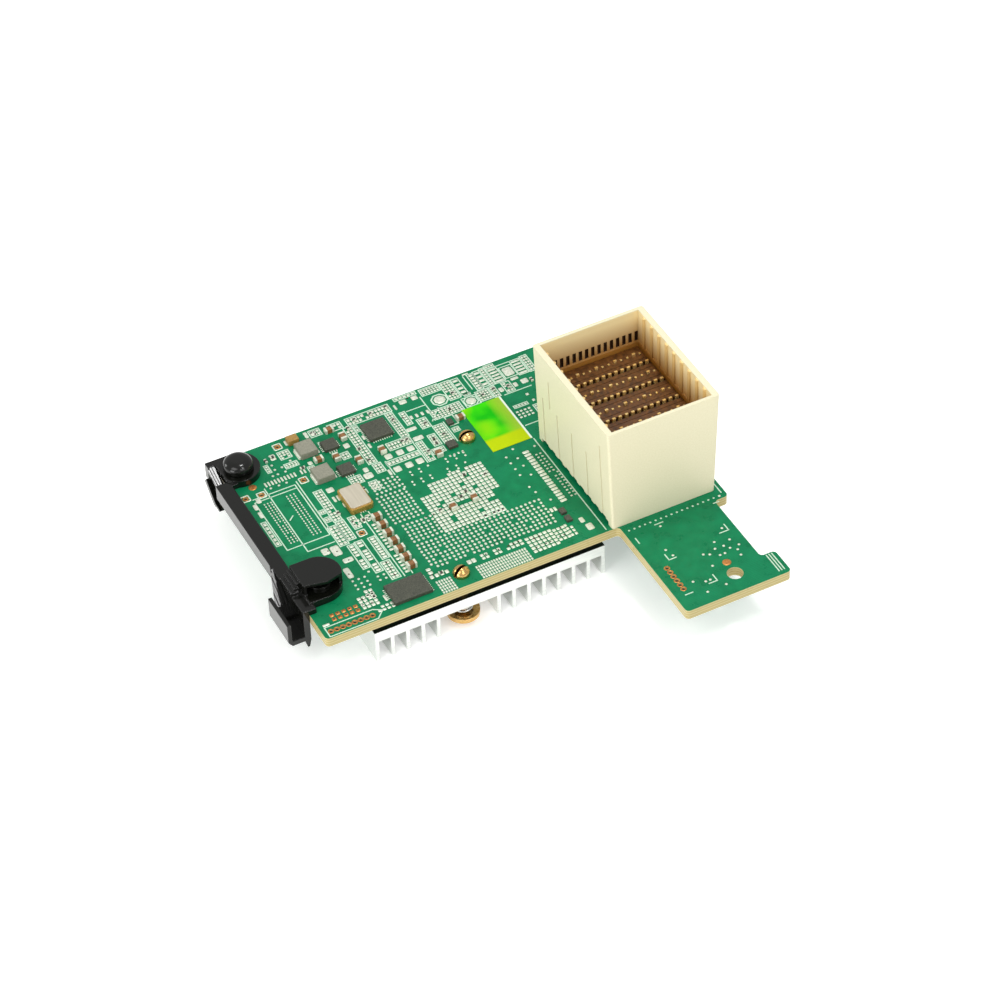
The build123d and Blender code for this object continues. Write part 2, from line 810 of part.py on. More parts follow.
# The card's own frame: middle of its box in plan, fin tips on the ground plane
to_frame = Pos(
    -(hook_left + board_length) / 2,
    -(body_depth - tab_reach) / 2,
    -fin_tips,
)

os.makedirs("parts", exist_ok=True)
for name, shape in parts.items():
    export_step(to_frame * shape, "parts/" + name + ".step")
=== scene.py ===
import math
import bpy
import numpy as np
from mathutils import Matrix, Vector


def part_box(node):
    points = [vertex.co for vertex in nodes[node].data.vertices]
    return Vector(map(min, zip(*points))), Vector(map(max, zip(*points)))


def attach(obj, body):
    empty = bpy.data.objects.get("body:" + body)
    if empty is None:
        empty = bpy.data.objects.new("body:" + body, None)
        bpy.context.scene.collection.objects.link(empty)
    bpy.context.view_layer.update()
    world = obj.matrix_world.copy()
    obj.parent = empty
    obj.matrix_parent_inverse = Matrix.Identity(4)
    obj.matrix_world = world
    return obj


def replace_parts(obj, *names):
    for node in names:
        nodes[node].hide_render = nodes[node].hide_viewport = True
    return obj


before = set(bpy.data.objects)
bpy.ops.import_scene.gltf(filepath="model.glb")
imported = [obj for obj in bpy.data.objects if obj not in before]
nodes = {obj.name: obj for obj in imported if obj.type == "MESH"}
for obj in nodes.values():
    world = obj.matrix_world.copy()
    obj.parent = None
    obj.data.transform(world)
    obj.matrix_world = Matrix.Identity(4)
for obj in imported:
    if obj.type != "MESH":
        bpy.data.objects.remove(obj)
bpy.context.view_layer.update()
print("frame loaded", len(nodes), "nodes")

boardLow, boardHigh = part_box("circuit_board")
bodyDepth = 56.5   # body of the board, front edge to back edge, mm
corner = np.array([boardLow.x * 1000, boardHigh.y * 1000 - bodyDepth, boardHigh.z * 1000])
boardUnder = (boardLow.z - boardHigh.z) * 1000   # height of the lower face, mm from the top face
chance = np.random.default_rng(12)


def toLinear(code):
    # sRGB hex to linear light
    parts = np.array([int(code[i:i + 2], 16) for i in (0, 2, 4)]) / 255
    curved = np.where(parts <= 0.04045, parts / 12.92, ((parts + 0.055) / 1.055) ** 2.4)
    return (*curved.tolist(), 1.0)


def put(tree, kind, inputs=None, **settings):
    # one node with its settings; an input is either a link or a constant
    node = kind if isinstance(kind, bpy.types.Node) else tree.nodes.new(kind)
    for name, value in settings.items():
        setattr(node, name, value)
    for key, value in (inputs or {}).items():
        if isinstance(value, bpy.types.NodeSocket):
            tree.links.new(value, node.inputs[key])
        else:
            node.inputs[key].default_value = value
    return node


def perMm(size):
    # texture scale that makes one cell this many mm across
    return 1000.0 / size


grainSpan = (0.3, 0.7)   # stretch of the noise that runs from the dark shade to the light one
openSpan = (0.3, 0.9)   # share of open sky that runs from the deep tone to the plain one
roughSwing = 0.15   # roughness either side of its middle, as a share
reliefStrength = 0.4


def surface(name, look):
    # two shades mixed by a grain of real size, which also drives roughness and relief
    mat = bpy.data.materials.new(name)
    mat.use_nodes = True
    tree = mat.node_tree
    shader = tree.nodes["Principled BSDF"]
    where = put(tree, "ShaderNodeTexCoord").outputs["Object"]
    stretch = put(tree, "ShaderNodeMapping", {"Vector": where, "Scale": look.get("stretch", (1, 1, 1))})
    grain = put(tree, "ShaderNodeTexNoise", {
        "Vector": stretch.outputs[0], "Scale": perMm(look["grain"]), "Detail": look.get("detail", 3.0)})
    spread = put(tree, "ShaderNodeMapRange", {0: grain.outputs[0], 1: grainSpan[0], 2: grainSpan[1]})
    tint = put(tree, "ShaderNodeMix", {
        0: spread.outputs[0], 6: toLinear(look["dark"]), 7: toLinear(look["light"])}, data_type="RGBA")
    # painted shade: hollows of the object's own surface within the reach darken towards the shade tone, as
    # the shade that falls in them
    if "shadeReach" in look:   # hollows narrower than this many mm take the deep tone
        nook = put(tree, "ShaderNodeAmbientOcclusion", {"Distance": look["shadeReach"] / 1000},
                   samples=6, only_local=True)
        clear = put(tree, "ShaderNodeMapRange", {0: nook.outputs["AO"], 1: openSpan[0], 2: openSpan[1]})
        tint = put(tree, "ShaderNodeMix", {
            0: clear.outputs[0], 6: toLinear(look["shadeTone"]), 7: tint.outputs[2]}, data_type="RGBA")
    rough = put(tree, "ShaderNodeMapRange", {
        0: grain.outputs[0], 1: grainSpan[0], 2: grainSpan[1],
        3: look["rough"] * (1 - roughSwing), 4: look["rough"] * (1 + roughSwing)})
    relief = put(tree, "ShaderNodeBump", {
        "Height": grain.outputs[0], "Distance": look.get("relief", 0.01) / 1000,
        "Strength": reliefStrength})
    if "edge" in look:   # edges broken by this many mm catch a line of light
        broken = put(tree, "ShaderNodeBevel", {"Radius": look["edge"] / 1000}, samples=4)
        put(tree, relief, {"Normal": broken.outputs[0]})
    put(tree, shader, {
        "Base Color": tint.outputs[2], "Roughness": rough.outputs[0], "Normal": relief.outputs[0],
        "Metallic": look.get("metal", 0.0), "Specular IOR Level": look.get("shine", 0.5),
        "Coat Weight": look.get("coat", 0.0), "Coat Roughness": look.get("coatRough", 0.1)})
    return mat, tree, shader, where, tint.outputs[2]


def mask(tree, where, axis, low, high, soft):
    # 1 between two places along one axis of the row frame, in metres, with soft ends
    part = put(tree, "ShaderNodeSeparateXYZ", {0: where}).outputs[axis]
    rise = put(tree, "ShaderNodeMapRange", {0: part, 1: low - soft, 2: low + soft})
    fall = put(tree, "ShaderNodeMapRange", {0: part, 1: high - soft, 2: high + soft, 3: 1.0, 4: 0.0})
    both = put(tree, "ShaderNodeMath", {0: rise.outputs[0], 1: fall.outputs[0]}, operation="MULTIPLY")
    return both.outputs[0]


# green solder mask: a deep satin green over glass laminate, with faint tracks and tan layered edges
maskLook = {"dark": "046d44", "light": "077d4f", "grain": 2.4, "rough": 0.3, "shine": 0.2, "relief": 0.002}
solderMask, tree, shader, where, tint = surface("solder_mask_on_laminate", maskLook)
# tracks under the mask: long runs a little apart, which show in soft patches; sizes in mm
trackLook = {
    "length": 9.0, "pitch": 0.42, "gap": 0.10, "patch": 9.0, "patchEdge": (0.48, 0.58), "show": 0.35}
tracks = put(tree, "ShaderNodeTexBrick", {
    "Vector": where, "Scale": perMm(1.0), "Mortar Size": trackLook["gap"], "Mortar Smooth": 0.3,
    "Brick Width": trackLook["length"], "Row Height": trackLook["pitch"], "Color1": toLinear("08754a"),
    "Color2": toLinear("08724a"), "Mortar": toLinear("0f8a5e")}, offset=0.37)
patch = put(tree, "ShaderNodeTexNoise", {
    "Vector": where, "Scale": perMm(trackLook["patch"]), "Detail": 1.0})
routed = put(tree, "ShaderNodeMapRange", {
    0: patch.outputs[0], 1: trackLook["patchEdge"][0], 2: trackLook["patchEdge"][1],
    3: 0.0, 4: trackLook["show"]})
green = put(tree, "ShaderNodeMix", {0: routed.outputs[0], 6: tint, 7: tracks.outputs[0]}, data_type="RGBA")
layerPitch = 0.32   # glass layers that show at the board's edge, mm
layers = put(tree, "ShaderNodeTexWave", {
    "Vector": where, "Scale": perMm(layerPitch) / 6.28, "Distortion": 0.6, "Detail": 2.0},
    bands_direction="Z")
edge = put(tree, "ShaderNodeMix", {
    0: layers.outputs[1], 6: toLinear("b6a56a"), 7: toLinear("c9bd8c")}, data_type="RGBA")
facing = put(tree, "ShaderNodeSeparateXYZ", {0: put(tree, "ShaderNodeTexCoord").outputs["Normal"]})
upright = put(tree, "ShaderNodeMath", {0: facing.outputs[2]}, operation="ABSOLUTE")
isFace = put(tree, "ShaderNodeMapRange", {0: upright.outputs[0], 1: 0.4, 2: 0.6})
board = put(tree, "ShaderNodeMix", {
    0: isFace.outputs[0], 6: edge.outputs[2], 7: green.outputs[2]}, data_type="RGBA")
put(tree, shader, {"Base Color": board.outputs[2]})

# anodised aluminium: pale satin metal with fine lines along the extrusion and a painted shade between the
# fins; a thin layer at the top of the upper face is near black and not metal, which shows as the dark line
# under the board
aluminiumLook = {
    "dark": "e4e8e4", "light": "f6f8f4", "grain": 0.25, "stretch": (0.04, 1, 1), "rough": 0.42,
    "metal": 0.7, "relief": 0.01, "edge": 0.12, "shadeReach": 3.0, "shadeTone": "b2b7af"}
aluminium, tree, shader, where, tint = surface("anodised_aluminium", aluminiumLook)
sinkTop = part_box("heat_sink")[1].z
darkLayerDepth = 0.00003   # metres
darkLayer = mask(tree, where, 2, sinkTop - darkLayerDepth, sinkTop + 0.001, darkLayerDepth / 3)
darkTopped = put(tree, "ShaderNodeMix", {0: darkLayer, 6: tint, 7: toLinear("14130e")}, data_type="RGBA")
bareMetal = put(tree, "ShaderNodeMapRange", {0: darkLayer, 3: aluminiumLook["metal"], 4: 0.0})
put(tree, shader, {"Base Color": darkTopped.outputs[2], "Metallic": bareMetal.outputs[0]})

# glass-filled cream plastic: warm matt moulding; inside the cavity the bounce light off the brown wafers
# and the shade are painted in, amber and darker towards the bottom, and the comb slots are a painted dark
# shade
creamLook = {
    "dark": "e3dcba", "light": "e9e2c3", "grain": 0.35, "rough": 0.42, "relief": 0.004, "shine": 0.35,
    "edge": 0.22}
creamPlastic, tree, shader, where, tint = surface("glass_filled_plastic", creamLook)
# reach of the cavity, its ribs and its comb slots, in mm from the middle of the shroud and the board's top
# face; the wall's painted shade fades from dark amber to pale between the two fade heights
cavity = {
    "x": 11.21, "y": 14.815, "low": 2.0, "top": 24.9, "ribIn": 10.0, "ribOut": 11.0, "ribEnd": 14.455,
    "slotEnd": 11.2, "slotIn": 14.785, "slotOut": 15.42, "slotLow": 17.1, "slotHigh": 19.6,
    "fadeLow": 16.5, "fadeHigh": 23.5}
zoneSoft = 0.00003   # metres
shroudLow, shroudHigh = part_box("connector_shroud")
middle = ((shroudLow.x + shroudHigh.x) / 2, (shroudLow.y + shroudHigh.y) / 2, boardHigh.z)
away = put(tree, "ShaderNodeVectorMath", {0: where, 1: middle}, operation="SUBTRACT")
away = put(tree, "ShaderNodeVectorMath", {0: away.outputs[0]}, operation="ABSOLUTE").outputs[0]


def within(tree, spans):
    # 1 inside every span (axis, low, high); a low of -1 takes in the middle, where the distance is nought
    masks = [mask(tree, away, axis, low / 1000, high / 1000, zoneSoft) for axis, low, high in spans]
    both = put(tree, "ShaderNodeMath", {0: masks[0], 1: masks[1]}, operation="MULTIPLY")
    return put(tree, "ShaderNodeMath", {0: both.outputs[0], 1: masks[2]}, operation="MULTIPLY").outputs[0]


tall = (2, cavity["low"], cavity["top"])
inside = within(tree, [(0, -1, cavity["x"]), (1, -1, cavity["y"]), tall])
ribs = within(tree, [(0, cavity["ribIn"], cavity["ribOut"]), (1, -1, cavity["ribEnd"]), tall])
slots = within(tree, [
    (0, -1, cavity["slotEnd"]), (1, cavity["slotIn"], cavity["slotOut"]),
    (2, cavity["slotLow"], cavity["slotHigh"])])
height = put(tree, "ShaderNodeSeparateXYZ", {0: away}).outputs[2]
climb = put(tree, "ShaderNodeMapRange", {
    0: height, 1: cavity["fadeLow"] / 1000, 2: cavity["fadeHigh"] / 1000})
# painted shade and painted bounce light on the cavity walls and ribs: dark amber low down, pale near the
# rim
cavityShade = put(tree, "ShaderNodeMix", {
    0: climb.outputs[0], 6: toLinear("a87430"), 7: toLinear("fdeab4")}, data_type="RGBA")
ribShade = put(tree, "ShaderNodeMix", {
    0: climb.outputs[0], 6: toLinear("94601f"), 7: toLinear("e6c583")}, data_type="RGBA")
walls = put(tree, "ShaderNodeMix", {0: inside, 6: tint, 7: cavityShade.outputs[2]}, data_type="RGBA")
ribbed = put(tree, "ShaderNodeMix", {
    0: ribs, 6: walls.outputs[2], 7: ribShade.outputs[2]}, data_type="RGBA")
# painted shade: the comb slots dark brown, as the shade in their depth
slotShaded = put(tree, "ShaderNodeMix", {
    0: slots, 6: ribbed.outputs[2], 7: toLinear("3a2412")}, data_type="RGBA")
put(tree, shader, {"Base Color": slotShaded.outputs[2]})

# brown wafer plastic: dark moulding, with a painted shade in the hollows between the contacts
waferPlastic = surface("brown_wafer_moulding", {
    "dark": "42260b", "light": "6f4415", "grain": 0.7, "rough": 0.42, "relief": 0.01,
    "shadeReach": 1.2, "shadeTone": "1a0e05"})[0]

# gold plate: warm bright metal on the contact tips
goldPlate = surface("gold_plate", {
    "dark": "f0ba58", "light": "ffe6a6", "grain": 0.4, "rough": 0.25, "metal": 0.6,
    "relief": 0.004, "edge": 0.06})[0]

# turned brass: golden metal with rings from the lathe, with a painted shade, nearly black, in the split of
# the head
brass = surface("turned_brass", {
    "dark": "c0904a", "light": "eac684", "grain": 0.18, "stretch": (0.3, 0.3, 2.0), "rough": 0.24,
    "metal": 1.0, "relief": 0.004, "edge": 0.12, "shadeReach": 1.4, "shadeTone": "2a1606"})[0]

# spring steel: grey drawn wire
springSteel = surface("drawn_spring_steel", {
    "dark": "a2a5a4", "light": "d0d2d0", "grain": 0.2, "rough": 0.26, "metal": 1.0, "relief": 0.003})[0]

# black moulded nylon: deep black with a clear sheen, a faint moulding grain and bright broken edges
nylon = surface("black_moulded_nylon", {
    "dark": "080906", "light": "0d0e0a", "grain": 0.35, "rough": 0.16, "shine": 0.25, "relief": 0.003,
    "edge": 0.3, "coat": 0.35, "coatRough": 0.06})[0]

# epoxy mould compound: matt charcoal with a sandy grain
epoxy = surface("epoxy_mould_compound", {
    "dark": "2f3128", "light": "505244", "grain": 0.22, "detail": 5.0, "rough": 0.5,
    "relief": 0.03, "edge": 0.12})[0]

# pressed ferrite: grey block with a powdery skin
ferrite = surface("pressed_ferrite", {
    "dark": "7c7c6d", "light": "91907f", "grain": 0.3, "detail": 5.0, "rough": 0.6,
    "relief": 0.02, "edge": 0.2})[0]

# tantalum moulding: ochre case
tantalum = surface("tantalum_moulding", {
    "dark": "8a6a34", "light": "b08c46", "grain": 0.3, "rough": 0.5, "relief": 0.015, "edge": 0.12})[0]

# nickel lid: pale rolled metal
nickel = surface("nickel_lid", {
    "dark": "d1c9b4", "light": "dbd3bf", "grain": 0.3, "stretch": (1, 0.06, 1), "rough": 0.4,
    "metal": 0.7, "relief": 0.006, "edge": 0.12})[0]

# metallised ceramic: gold-rimmed base of the oscillator
ceramic = surface("metallised_ceramic", {
    "dark": "9c7630", "light": "d0ae5e", "grain": 0.25, "rough": 0.36, "metal": 0.6,
    "relief": 0.008, "edge": 0.1})[0]

# capacitor ceramic: brown fired body
capacitorCeramic = surface("capacitor_ceramic", {
    "dark": "6a4424", "light": "996c3e", "grain": 0.3, "rough": 0.4, "relief": 0.01, "edge": 0.06})[0]

# tin plate: bright soldered metal
tinPlate = surface("tin_plate", {
    "dark": "c6cfbc", "light": "eceedd", "grain": 0.5, "rough": 0.35, "metal": 0.3, "relief": 0.01})[0]

# chip substrate: dark green organic board
substrate = surface("chip_substrate", {
    "dark": "1c3f2a", "light": "2a5438", "grain": 0.4, "rough": 0.45, "relief": 0.006})[0]

# silicone pad: grey soft sheet
silicone = surface("silicone_gap_pad", {
    "dark": "8f9496", "light": "a7abac", "grain": 0.25, "rough": 0.8, "relief": 0.03})[0]

# silk ink: thin pale print that lets a little green through
silkInk = surface("silk_ink", {
    "dark": "a9cbae", "light": "d6e8d6", "grain": 0.2, "rough": 0.6, "relief": 0.01})[0]

# drilled hole: brown-black, a painted shade of the laminate inside the bores
drilled = surface("painted_hole_shade", {"dark": "2a2012", "light": "4a3a24", "grain": 0.2, "rough": 0.7})[0]

# bare copper: warm metal under a clear finish
copper = surface("bare_copper", {
    "dark": "b06a34", "light": "d89858", "grain": 0.3, "rough": 0.35, "metal": 0.7, "relief": 0.008})[0]

# colour film: printed green and yellow fields with a white margin; the wash in mm, the zones' widths and
# soft ends in metres
labelLow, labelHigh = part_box("colour_label")
filmZones = {"wash": 6.0, "olive": (0.0022, 0.0016), "band": (0.0036, 0.0004), "margin": (0.0004, 0.0001)}
past = 0.002   # zones run on beyond the label's edge by this
colourFilm, tree, shader, where, tint = surface("printed_film", {
    "dark": "16b60a", "light": "3cd605", "grain": 3.5, "detail": 1.0, "rough": 0.45, "relief": 0.004,
    "shine": 0.08})
wash = put(tree, "ShaderNodeTexNoise", {"Vector": where, "Scale": perMm(filmZones["wash"]), "Detail": 0.0})
washed = put(tree, "ShaderNodeMapRange", {0: wash.outputs[0], 1: 0.38, 2: 0.62})
fields = put(tree, "ShaderNodeMix", {
    0: washed.outputs[0], 6: tint, 7: toLinear("80d205")}, data_type="RGBA")
wide, soft = filmZones["olive"]
olive = mask(tree, where, 0, labelHigh.x - wide, labelHigh.x + past, soft)
faded = put(tree, "ShaderNodeMix", {
    0: olive, 6: fields.outputs[2], 7: toLinear("94bc34")}, data_type="RGBA")
wide, soft = filmZones["band"]
band = mask(tree, where, 1, labelLow.y - past, labelLow.y + wide, soft)
banded = put(tree, "ShaderNodeMix", {
    0: band, 6: faded.outputs[2], 7: toLinear("b4ca03")}, data_type="RGBA")
wide, soft = filmZones["margin"]
margin = mask(tree, where, 0, labelHigh.x - wide, labelHigh.x + past, soft)
film = put(tree, "ShaderNodeMix", {
    0: margin, 6: banded.outputs[2], 7: toLinear("e4efe0")}, data_type="RGBA")
put(tree, shader, {"Base Color": film.outputs[2]})

# one finish for each node; wafers and contact rows, which are many, are told by their names
finish = {
    "circuit_board": solderMask, "heat_sink": aluminium, "connector_shroud": creamPlastic,
    "latch_bracket": nylon, "rear_rivet": nylon, "front_rivet": nylon, "flash_memory_chip": epoxy,
    "power_controller_chip": epoxy, "power_transistors": epoxy, "power_inductors": ferrite,
    "logic_chips": epoxy, "tantalum_capacitor": tantalum, "colour_label": colourFilm,
    "front_push_pin": brass, "back_push_pin": brass, "front_spring": springSteel,
    "back_spring": springSteel, "oscillator_base": ceramic, "oscillator_lid": nickel,
    "capacitor_bodies": capacitorCeramic, "capacitor_terminals": tinPlate,
    "controller_substrate": substrate, "controller_lid": nickel, "thermal_pad": silicone}
for name, node in nodes.items():
    chosen = finish.get(name, waferPlastic if name.startswith("contact_wafer") else goldPlate)
    node.data.materials.clear()
    node.data.materials.append(chosen)
print("materials made for", len(nodes), "nodes")


def meshFrom(name, shape, mat, smooth=True):
    # a mesh from whole arrays of points and triangles, in metres, riding on the card
    verts, faces = shape
    mesh = bpy.data.meshes.new(name)
    mesh.from_pydata(verts.tolist(), [], faces.tolist())
    mesh.polygons.foreach_set("use_smooth", np.full(len(faces), smooth))
    mesh.materials.append(mat)
    mesh.update()
    piece = bpy.data.objects.new(name, mesh)
    bpy.context.collection.objects.link(piece)
    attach(piece, "root")
    return piece


def skin(grid, loop=False):
    # triangles over a grid of points: the second parameter wraps round, and a row of one place is a pole
    rows, steps = grid.shape[:2]
    i, j = np.meshgrid(np.arange(rows if loop else rows - 1), np.arange(steps), indexing="ij")
    n, k = (i + 1) % rows, (j + 1) % steps
    a, b, c, d = i * steps + j, i * steps + k, n * steps + k, n * steps + j
    faces = np.concatenate([np.stack([a, b, c], 2).reshape(-1, 3), np.stack([a, c, d], 2).reshape(-1, 3)])
    pole = np.repeat(np.ptp(grid, axis=1).max(1) < 1e-9, steps)
    faces = np.where(pole, np.repeat(np.arange(rows) * steps, steps), np.arange(rows * steps))[faces]
    real = (faces != np.roll(faces, 1, axis=1)).all(1)
    used, faces = np.unique(faces[real], return_inverse=True)
    return grid.reshape(-1, 3)[used], faces.reshape(-1, 3)


def turned(rings, steps, power=2.0, loop=False):
    # (radius, height) rings carried round a superellipse of the given power; a loop closes on itself
    rings = np.array(rings, float)
    angle = (np.arange(steps) + 0.5) * 2 * math.pi / steps
    c, s = np.cos(angle), np.sin(angle)
    x, y = np.sign(c) * np.abs(c) ** (2 / power), np.sign(s) * np.abs(s) ** (2 / power)
    r, h = rings[:, :1], rings[:, 1:]
    return skin(np.stack([r * x, r * y, np.broadcast_to(h, (len(rings), steps))], 2), loop)


def under(rings):
    # the same profile hung from the lower face of the board
    return [(r, -h) for r, h in reversed(rings)]


def stamp(shape, places, sizes, turns=0.0):
    # one small shape repeated over arrays of places, sizes and turns, all in mm on the board
    verts, faces = shape
    places, sizes = np.atleast_2d(places).astype(float), np.atleast_2d(sizes).astype(float)
    turns = np.broadcast_to(turns, len(places))
    local = verts[None] * sizes[:, None, :]
    c, s = np.cos(turns)[:, None], np.sin(turns)[:, None]
    x = local[..., 0] * c - local[..., 1] * s
    y = local[..., 0] * s + local[..., 1] * c
    spread = np.stack([x, y, local[..., 2]], 2) + places[:, None, :] + corner
    index = faces[None] + (np.arange(len(places)) * len(verts))[:, None, None]
    return spread.reshape(-1, 3) / 1000, index.reshape(-1, 3)


def lattice(x0, y0, nx, ny, dx, dy):
    # centres of a regular field, row by row
    gx, gy = np.meshgrid(x0 + dx * np.arange(nx), y0 + dy * np.arange(ny))
    return np.stack([gx.ravel(), gy.ravel()], 1)


def without(field, gaps):
    # the field less the places that lie in any of the boxes (x0, y0, x1, y1)
    gaps = np.array(gaps, float)
    x, y = field[:, :1], field[:, 1:2]
    hit = (x > gaps[:, 0]) & (x < gaps[:, 2]) & (y > gaps[:, 1]) & (y < gaps[:, 3])
    return field[~hit.any(1)]


def flat(field, width, depth):
    # places of equal pads as rows of (x, y, width, depth)
    return np.column_stack([field, np.full(len(field), width), np.full(len(field), depth)])


def boxes(rows):
    # (x0, y0, x1, y1) boxes as rows of (x, y, width, depth)
    rows = np.array(rows, float)
    return np.column_stack([(rows[:, 0] + rows[:, 2]) / 2, (rows[:, 1] + rows[:, 3]) / 2,
                            rows[:, 2] - rows[:, 0], rows[:, 3] - rows[:, 1]])


def lay(name, shape, rows, height, mat, level=0.0, smooth=True):
    # rows of (x, y, width, depth) laid on a level of the board
    places = np.column_stack([rows[:, 0], rows[:, 1], np.full(len(rows), level)])
    sizes = np.column_stack([rows[:, 2] / 2, rows[:, 3] / 2, np.full(len(rows), height)])
    return meshFrom(name, stamp(shape, places, sizes), mat, smooth)


# pad: a low pillow, superellipse outline of power 6 whose height falls off to the rim
pillow = turned([(0, -0.2), (1.0, 0.3), (0.88, 1.0), (0, 1.0)], 8, 6)
# via: a round low dome
domeRings = [(0, -0.2), (1.0, 0.2), (0.62, 0.9), (0, 1.0)]
dome = turned(domeRings, 8)
# disc: a flat round pad with a rolled rim
discRings = [(0, -0.2), (1.0, 0.1), (0.97, 0.7), (0.6, 1.0), (0, 1.0)]
# collar: a flat ring whose profile closes on itself
collarRings = [(0.56, -0.2), (1.0, -0.2), (0.97, 0.8), (0.78, 1.0), (0.59, 0.8)]
# block: a brick with broken upper edges
block = turned([(0, 0.0), (1.0, 0.0), (1.0, 0.86), (0.9, 1.0), (0, 1.0)], 8, 14)
# bar: a low square stroke
bar = turned([(0, -0.2), (1.0, 0.4), (0.9, 1.0), (0, 1.0)], 4, 40)

# ball-grid field under the controller: one filled via a millimetre, a few left out
viaField = {"width": 0.62, "depth": 0.74, "height": 0.05, "uneven": 0.06, "wander": 7.3}
gridGaps = [
    (31.8, 15.1, 32.9, 16.1), (30.3, 11.2, 31.3, 12.1), (28.3, 9.1, 29.3, 10.1),
    (26.3, 7.0, 27.3, 8.0), (40.3, 11.2, 41.3, 12.1), (46.3, 11.2, 47.3, 12.1),
    (48.3, 9.3, 49.3, 10.3), (42.3, 7.2, 43.3, 8.2), (34.3, 7.0, 35.3, 8.0), (30.3, 7.0, 31.3, 8.0),
    (52.3, 13.3, 53.3, 14.3)]
ballGrid = np.vstack([
    without(lattice(26.8, 7.6, 28, 8, 1.0, 1.02), gridGaps), lattice(26.8, 16.0, 7, 6, 1.0, 1.02),
    lattice(25.8, 22.6, 7, 9, 1.0, 1.02), lattice(26.3, 32.0, 6, 4, 1.0, 1.02)])
# slight unevenness of drilled work
ballGrid = ballGrid + viaField["uneven"] * np.sin(ballGrid[:, ::-1] * viaField["wander"])
gridRows = flat(ballGrid, viaField["width"], viaField["depth"])
lay("ball_grid_vias", dome, gridRows, viaField["height"], tinPlate)

# decoupling field: close pads over the controller with a few bare lanes between them; a share is missing,
# but a pad above the large area, in square mm, is never left out
padField = {
    "width": 0.85, "depth": 0.80, "height": 0.045, "pitch": (0.98, 0.96), "missing": 0.03, "large": 1.0}
fieldGaps = [
    (36.6, 16.9, 37.4, 19.1), (45.0, 18.8, 46.6, 19.6), (40.3, 25.5, 41.8, 26.1),
    (35.4, 21.7, 36.0, 23.0), (39.4, 20.6, 41.6, 22.0), (47.2, 15.0, 49.5, 22.0),
    (37.0, 20.6, 38.6, 21.9), (42.0, 20.7, 43.6, 22.4), (33.2, 27.0, 36.2, 31.0),
    (36.2, 29.2, 41.3, 31.0), (46.6, 21.6, 47.2, 31.0)]
closePads = without(lattice(33.7, 15.7, 16, 16, *padField["pitch"]), fieldGaps)
padRows = [flat(closePads, padField["width"], padField["depth"])]

# open footprints and larger pads seen on the top face, as boxes in mm
openPads = [
    (32.4, 40.05, 34.0, 41.65), (35.0, 40.05, 36.6, 41.65), (37.4, 40.05, 39.0, 41.65),
    (32.4, 35.75, 34.0, 37.45), (35.0, 35.75, 36.6, 37.45), (37.4, 35.75, 39.0, 37.45),
    (39.8, 45.45, 42.1, 46.55), (39.8, 42.2, 42.1, 43.55), (42.2, 53.7, 43.9, 55.0),
    (45.0, 53.7, 46.4, 55.0), (65.3, 50.8, 67.5, 53.6), (57.4, 55.6, 58.9, 56.0),
    (40.7, 52.8, 41.2, 54.4), (26.2, 36.8, 28.2, 38.6), (26.9, 38.8, 28.0, 40.2),
    (26.5, 47.2, 27.8, 48.7), (31.0, 44.9, 31.6, 46.4), (31.0, 47.8, 31.7, 49.2),
    (31.1, 35.6, 31.7, 37.4), (62.0, 47.1, 63.0, 48.5), (65.4, 47.1, 66.3, 48.5),
    (67.2, 47.2, 68.8, 48.7), (65.6, 49.2, 67.4, 50.0), (66.2, 43.6, 66.9, 44.3),
    (66.6, 41.4, 67.2, 42.1), (9.4, 21.0, 11.0, 23.0), (11.2, 19.7, 13.1, 22.8),
    (12.0, 17.05, 14.2, 18.45), (10.9, 12.75, 12.2, 16.0), (14.6, 3.8, 15.2, 5.6),
    (0.9, 3.3, 2.4, 3.9), (3.0, 36.8, 3.8, 38.8), (3.0, 39.4, 3.9, 41.2), (4.2, 41.0, 5.2, 42.4),
    (58.3, 2.0, 59.8, 4.0), (58.0, 4.6, 59.0, 6.2), (16.9, 48.7, 17.5, 51.9), (21.2, 48.7, 21.7, 51.9),
    (16.8, 40.3, 17.4, 43.6), (21.1, 40.3, 21.6, 43.6), (11.9, 52.4, 13.1, 53.0),
    (11.9, 51.2, 13.1, 51.9), (17.9, 33.9, 18.5, 35.6), (18.8, 33.9, 19.4, 35.6),
    (17.8, 36.9, 19.4, 38.4), (19.0, 31.6, 19.5, 33.0), (16.4, 53.9, 17.2, 55.5),
    (20.9, 53.9, 21.7, 55.9), (22.2, 53.9, 23.4, 55.3), (18.0, 46.3, 19.0, 47.4)]
padRows.append(boxes(openPads))

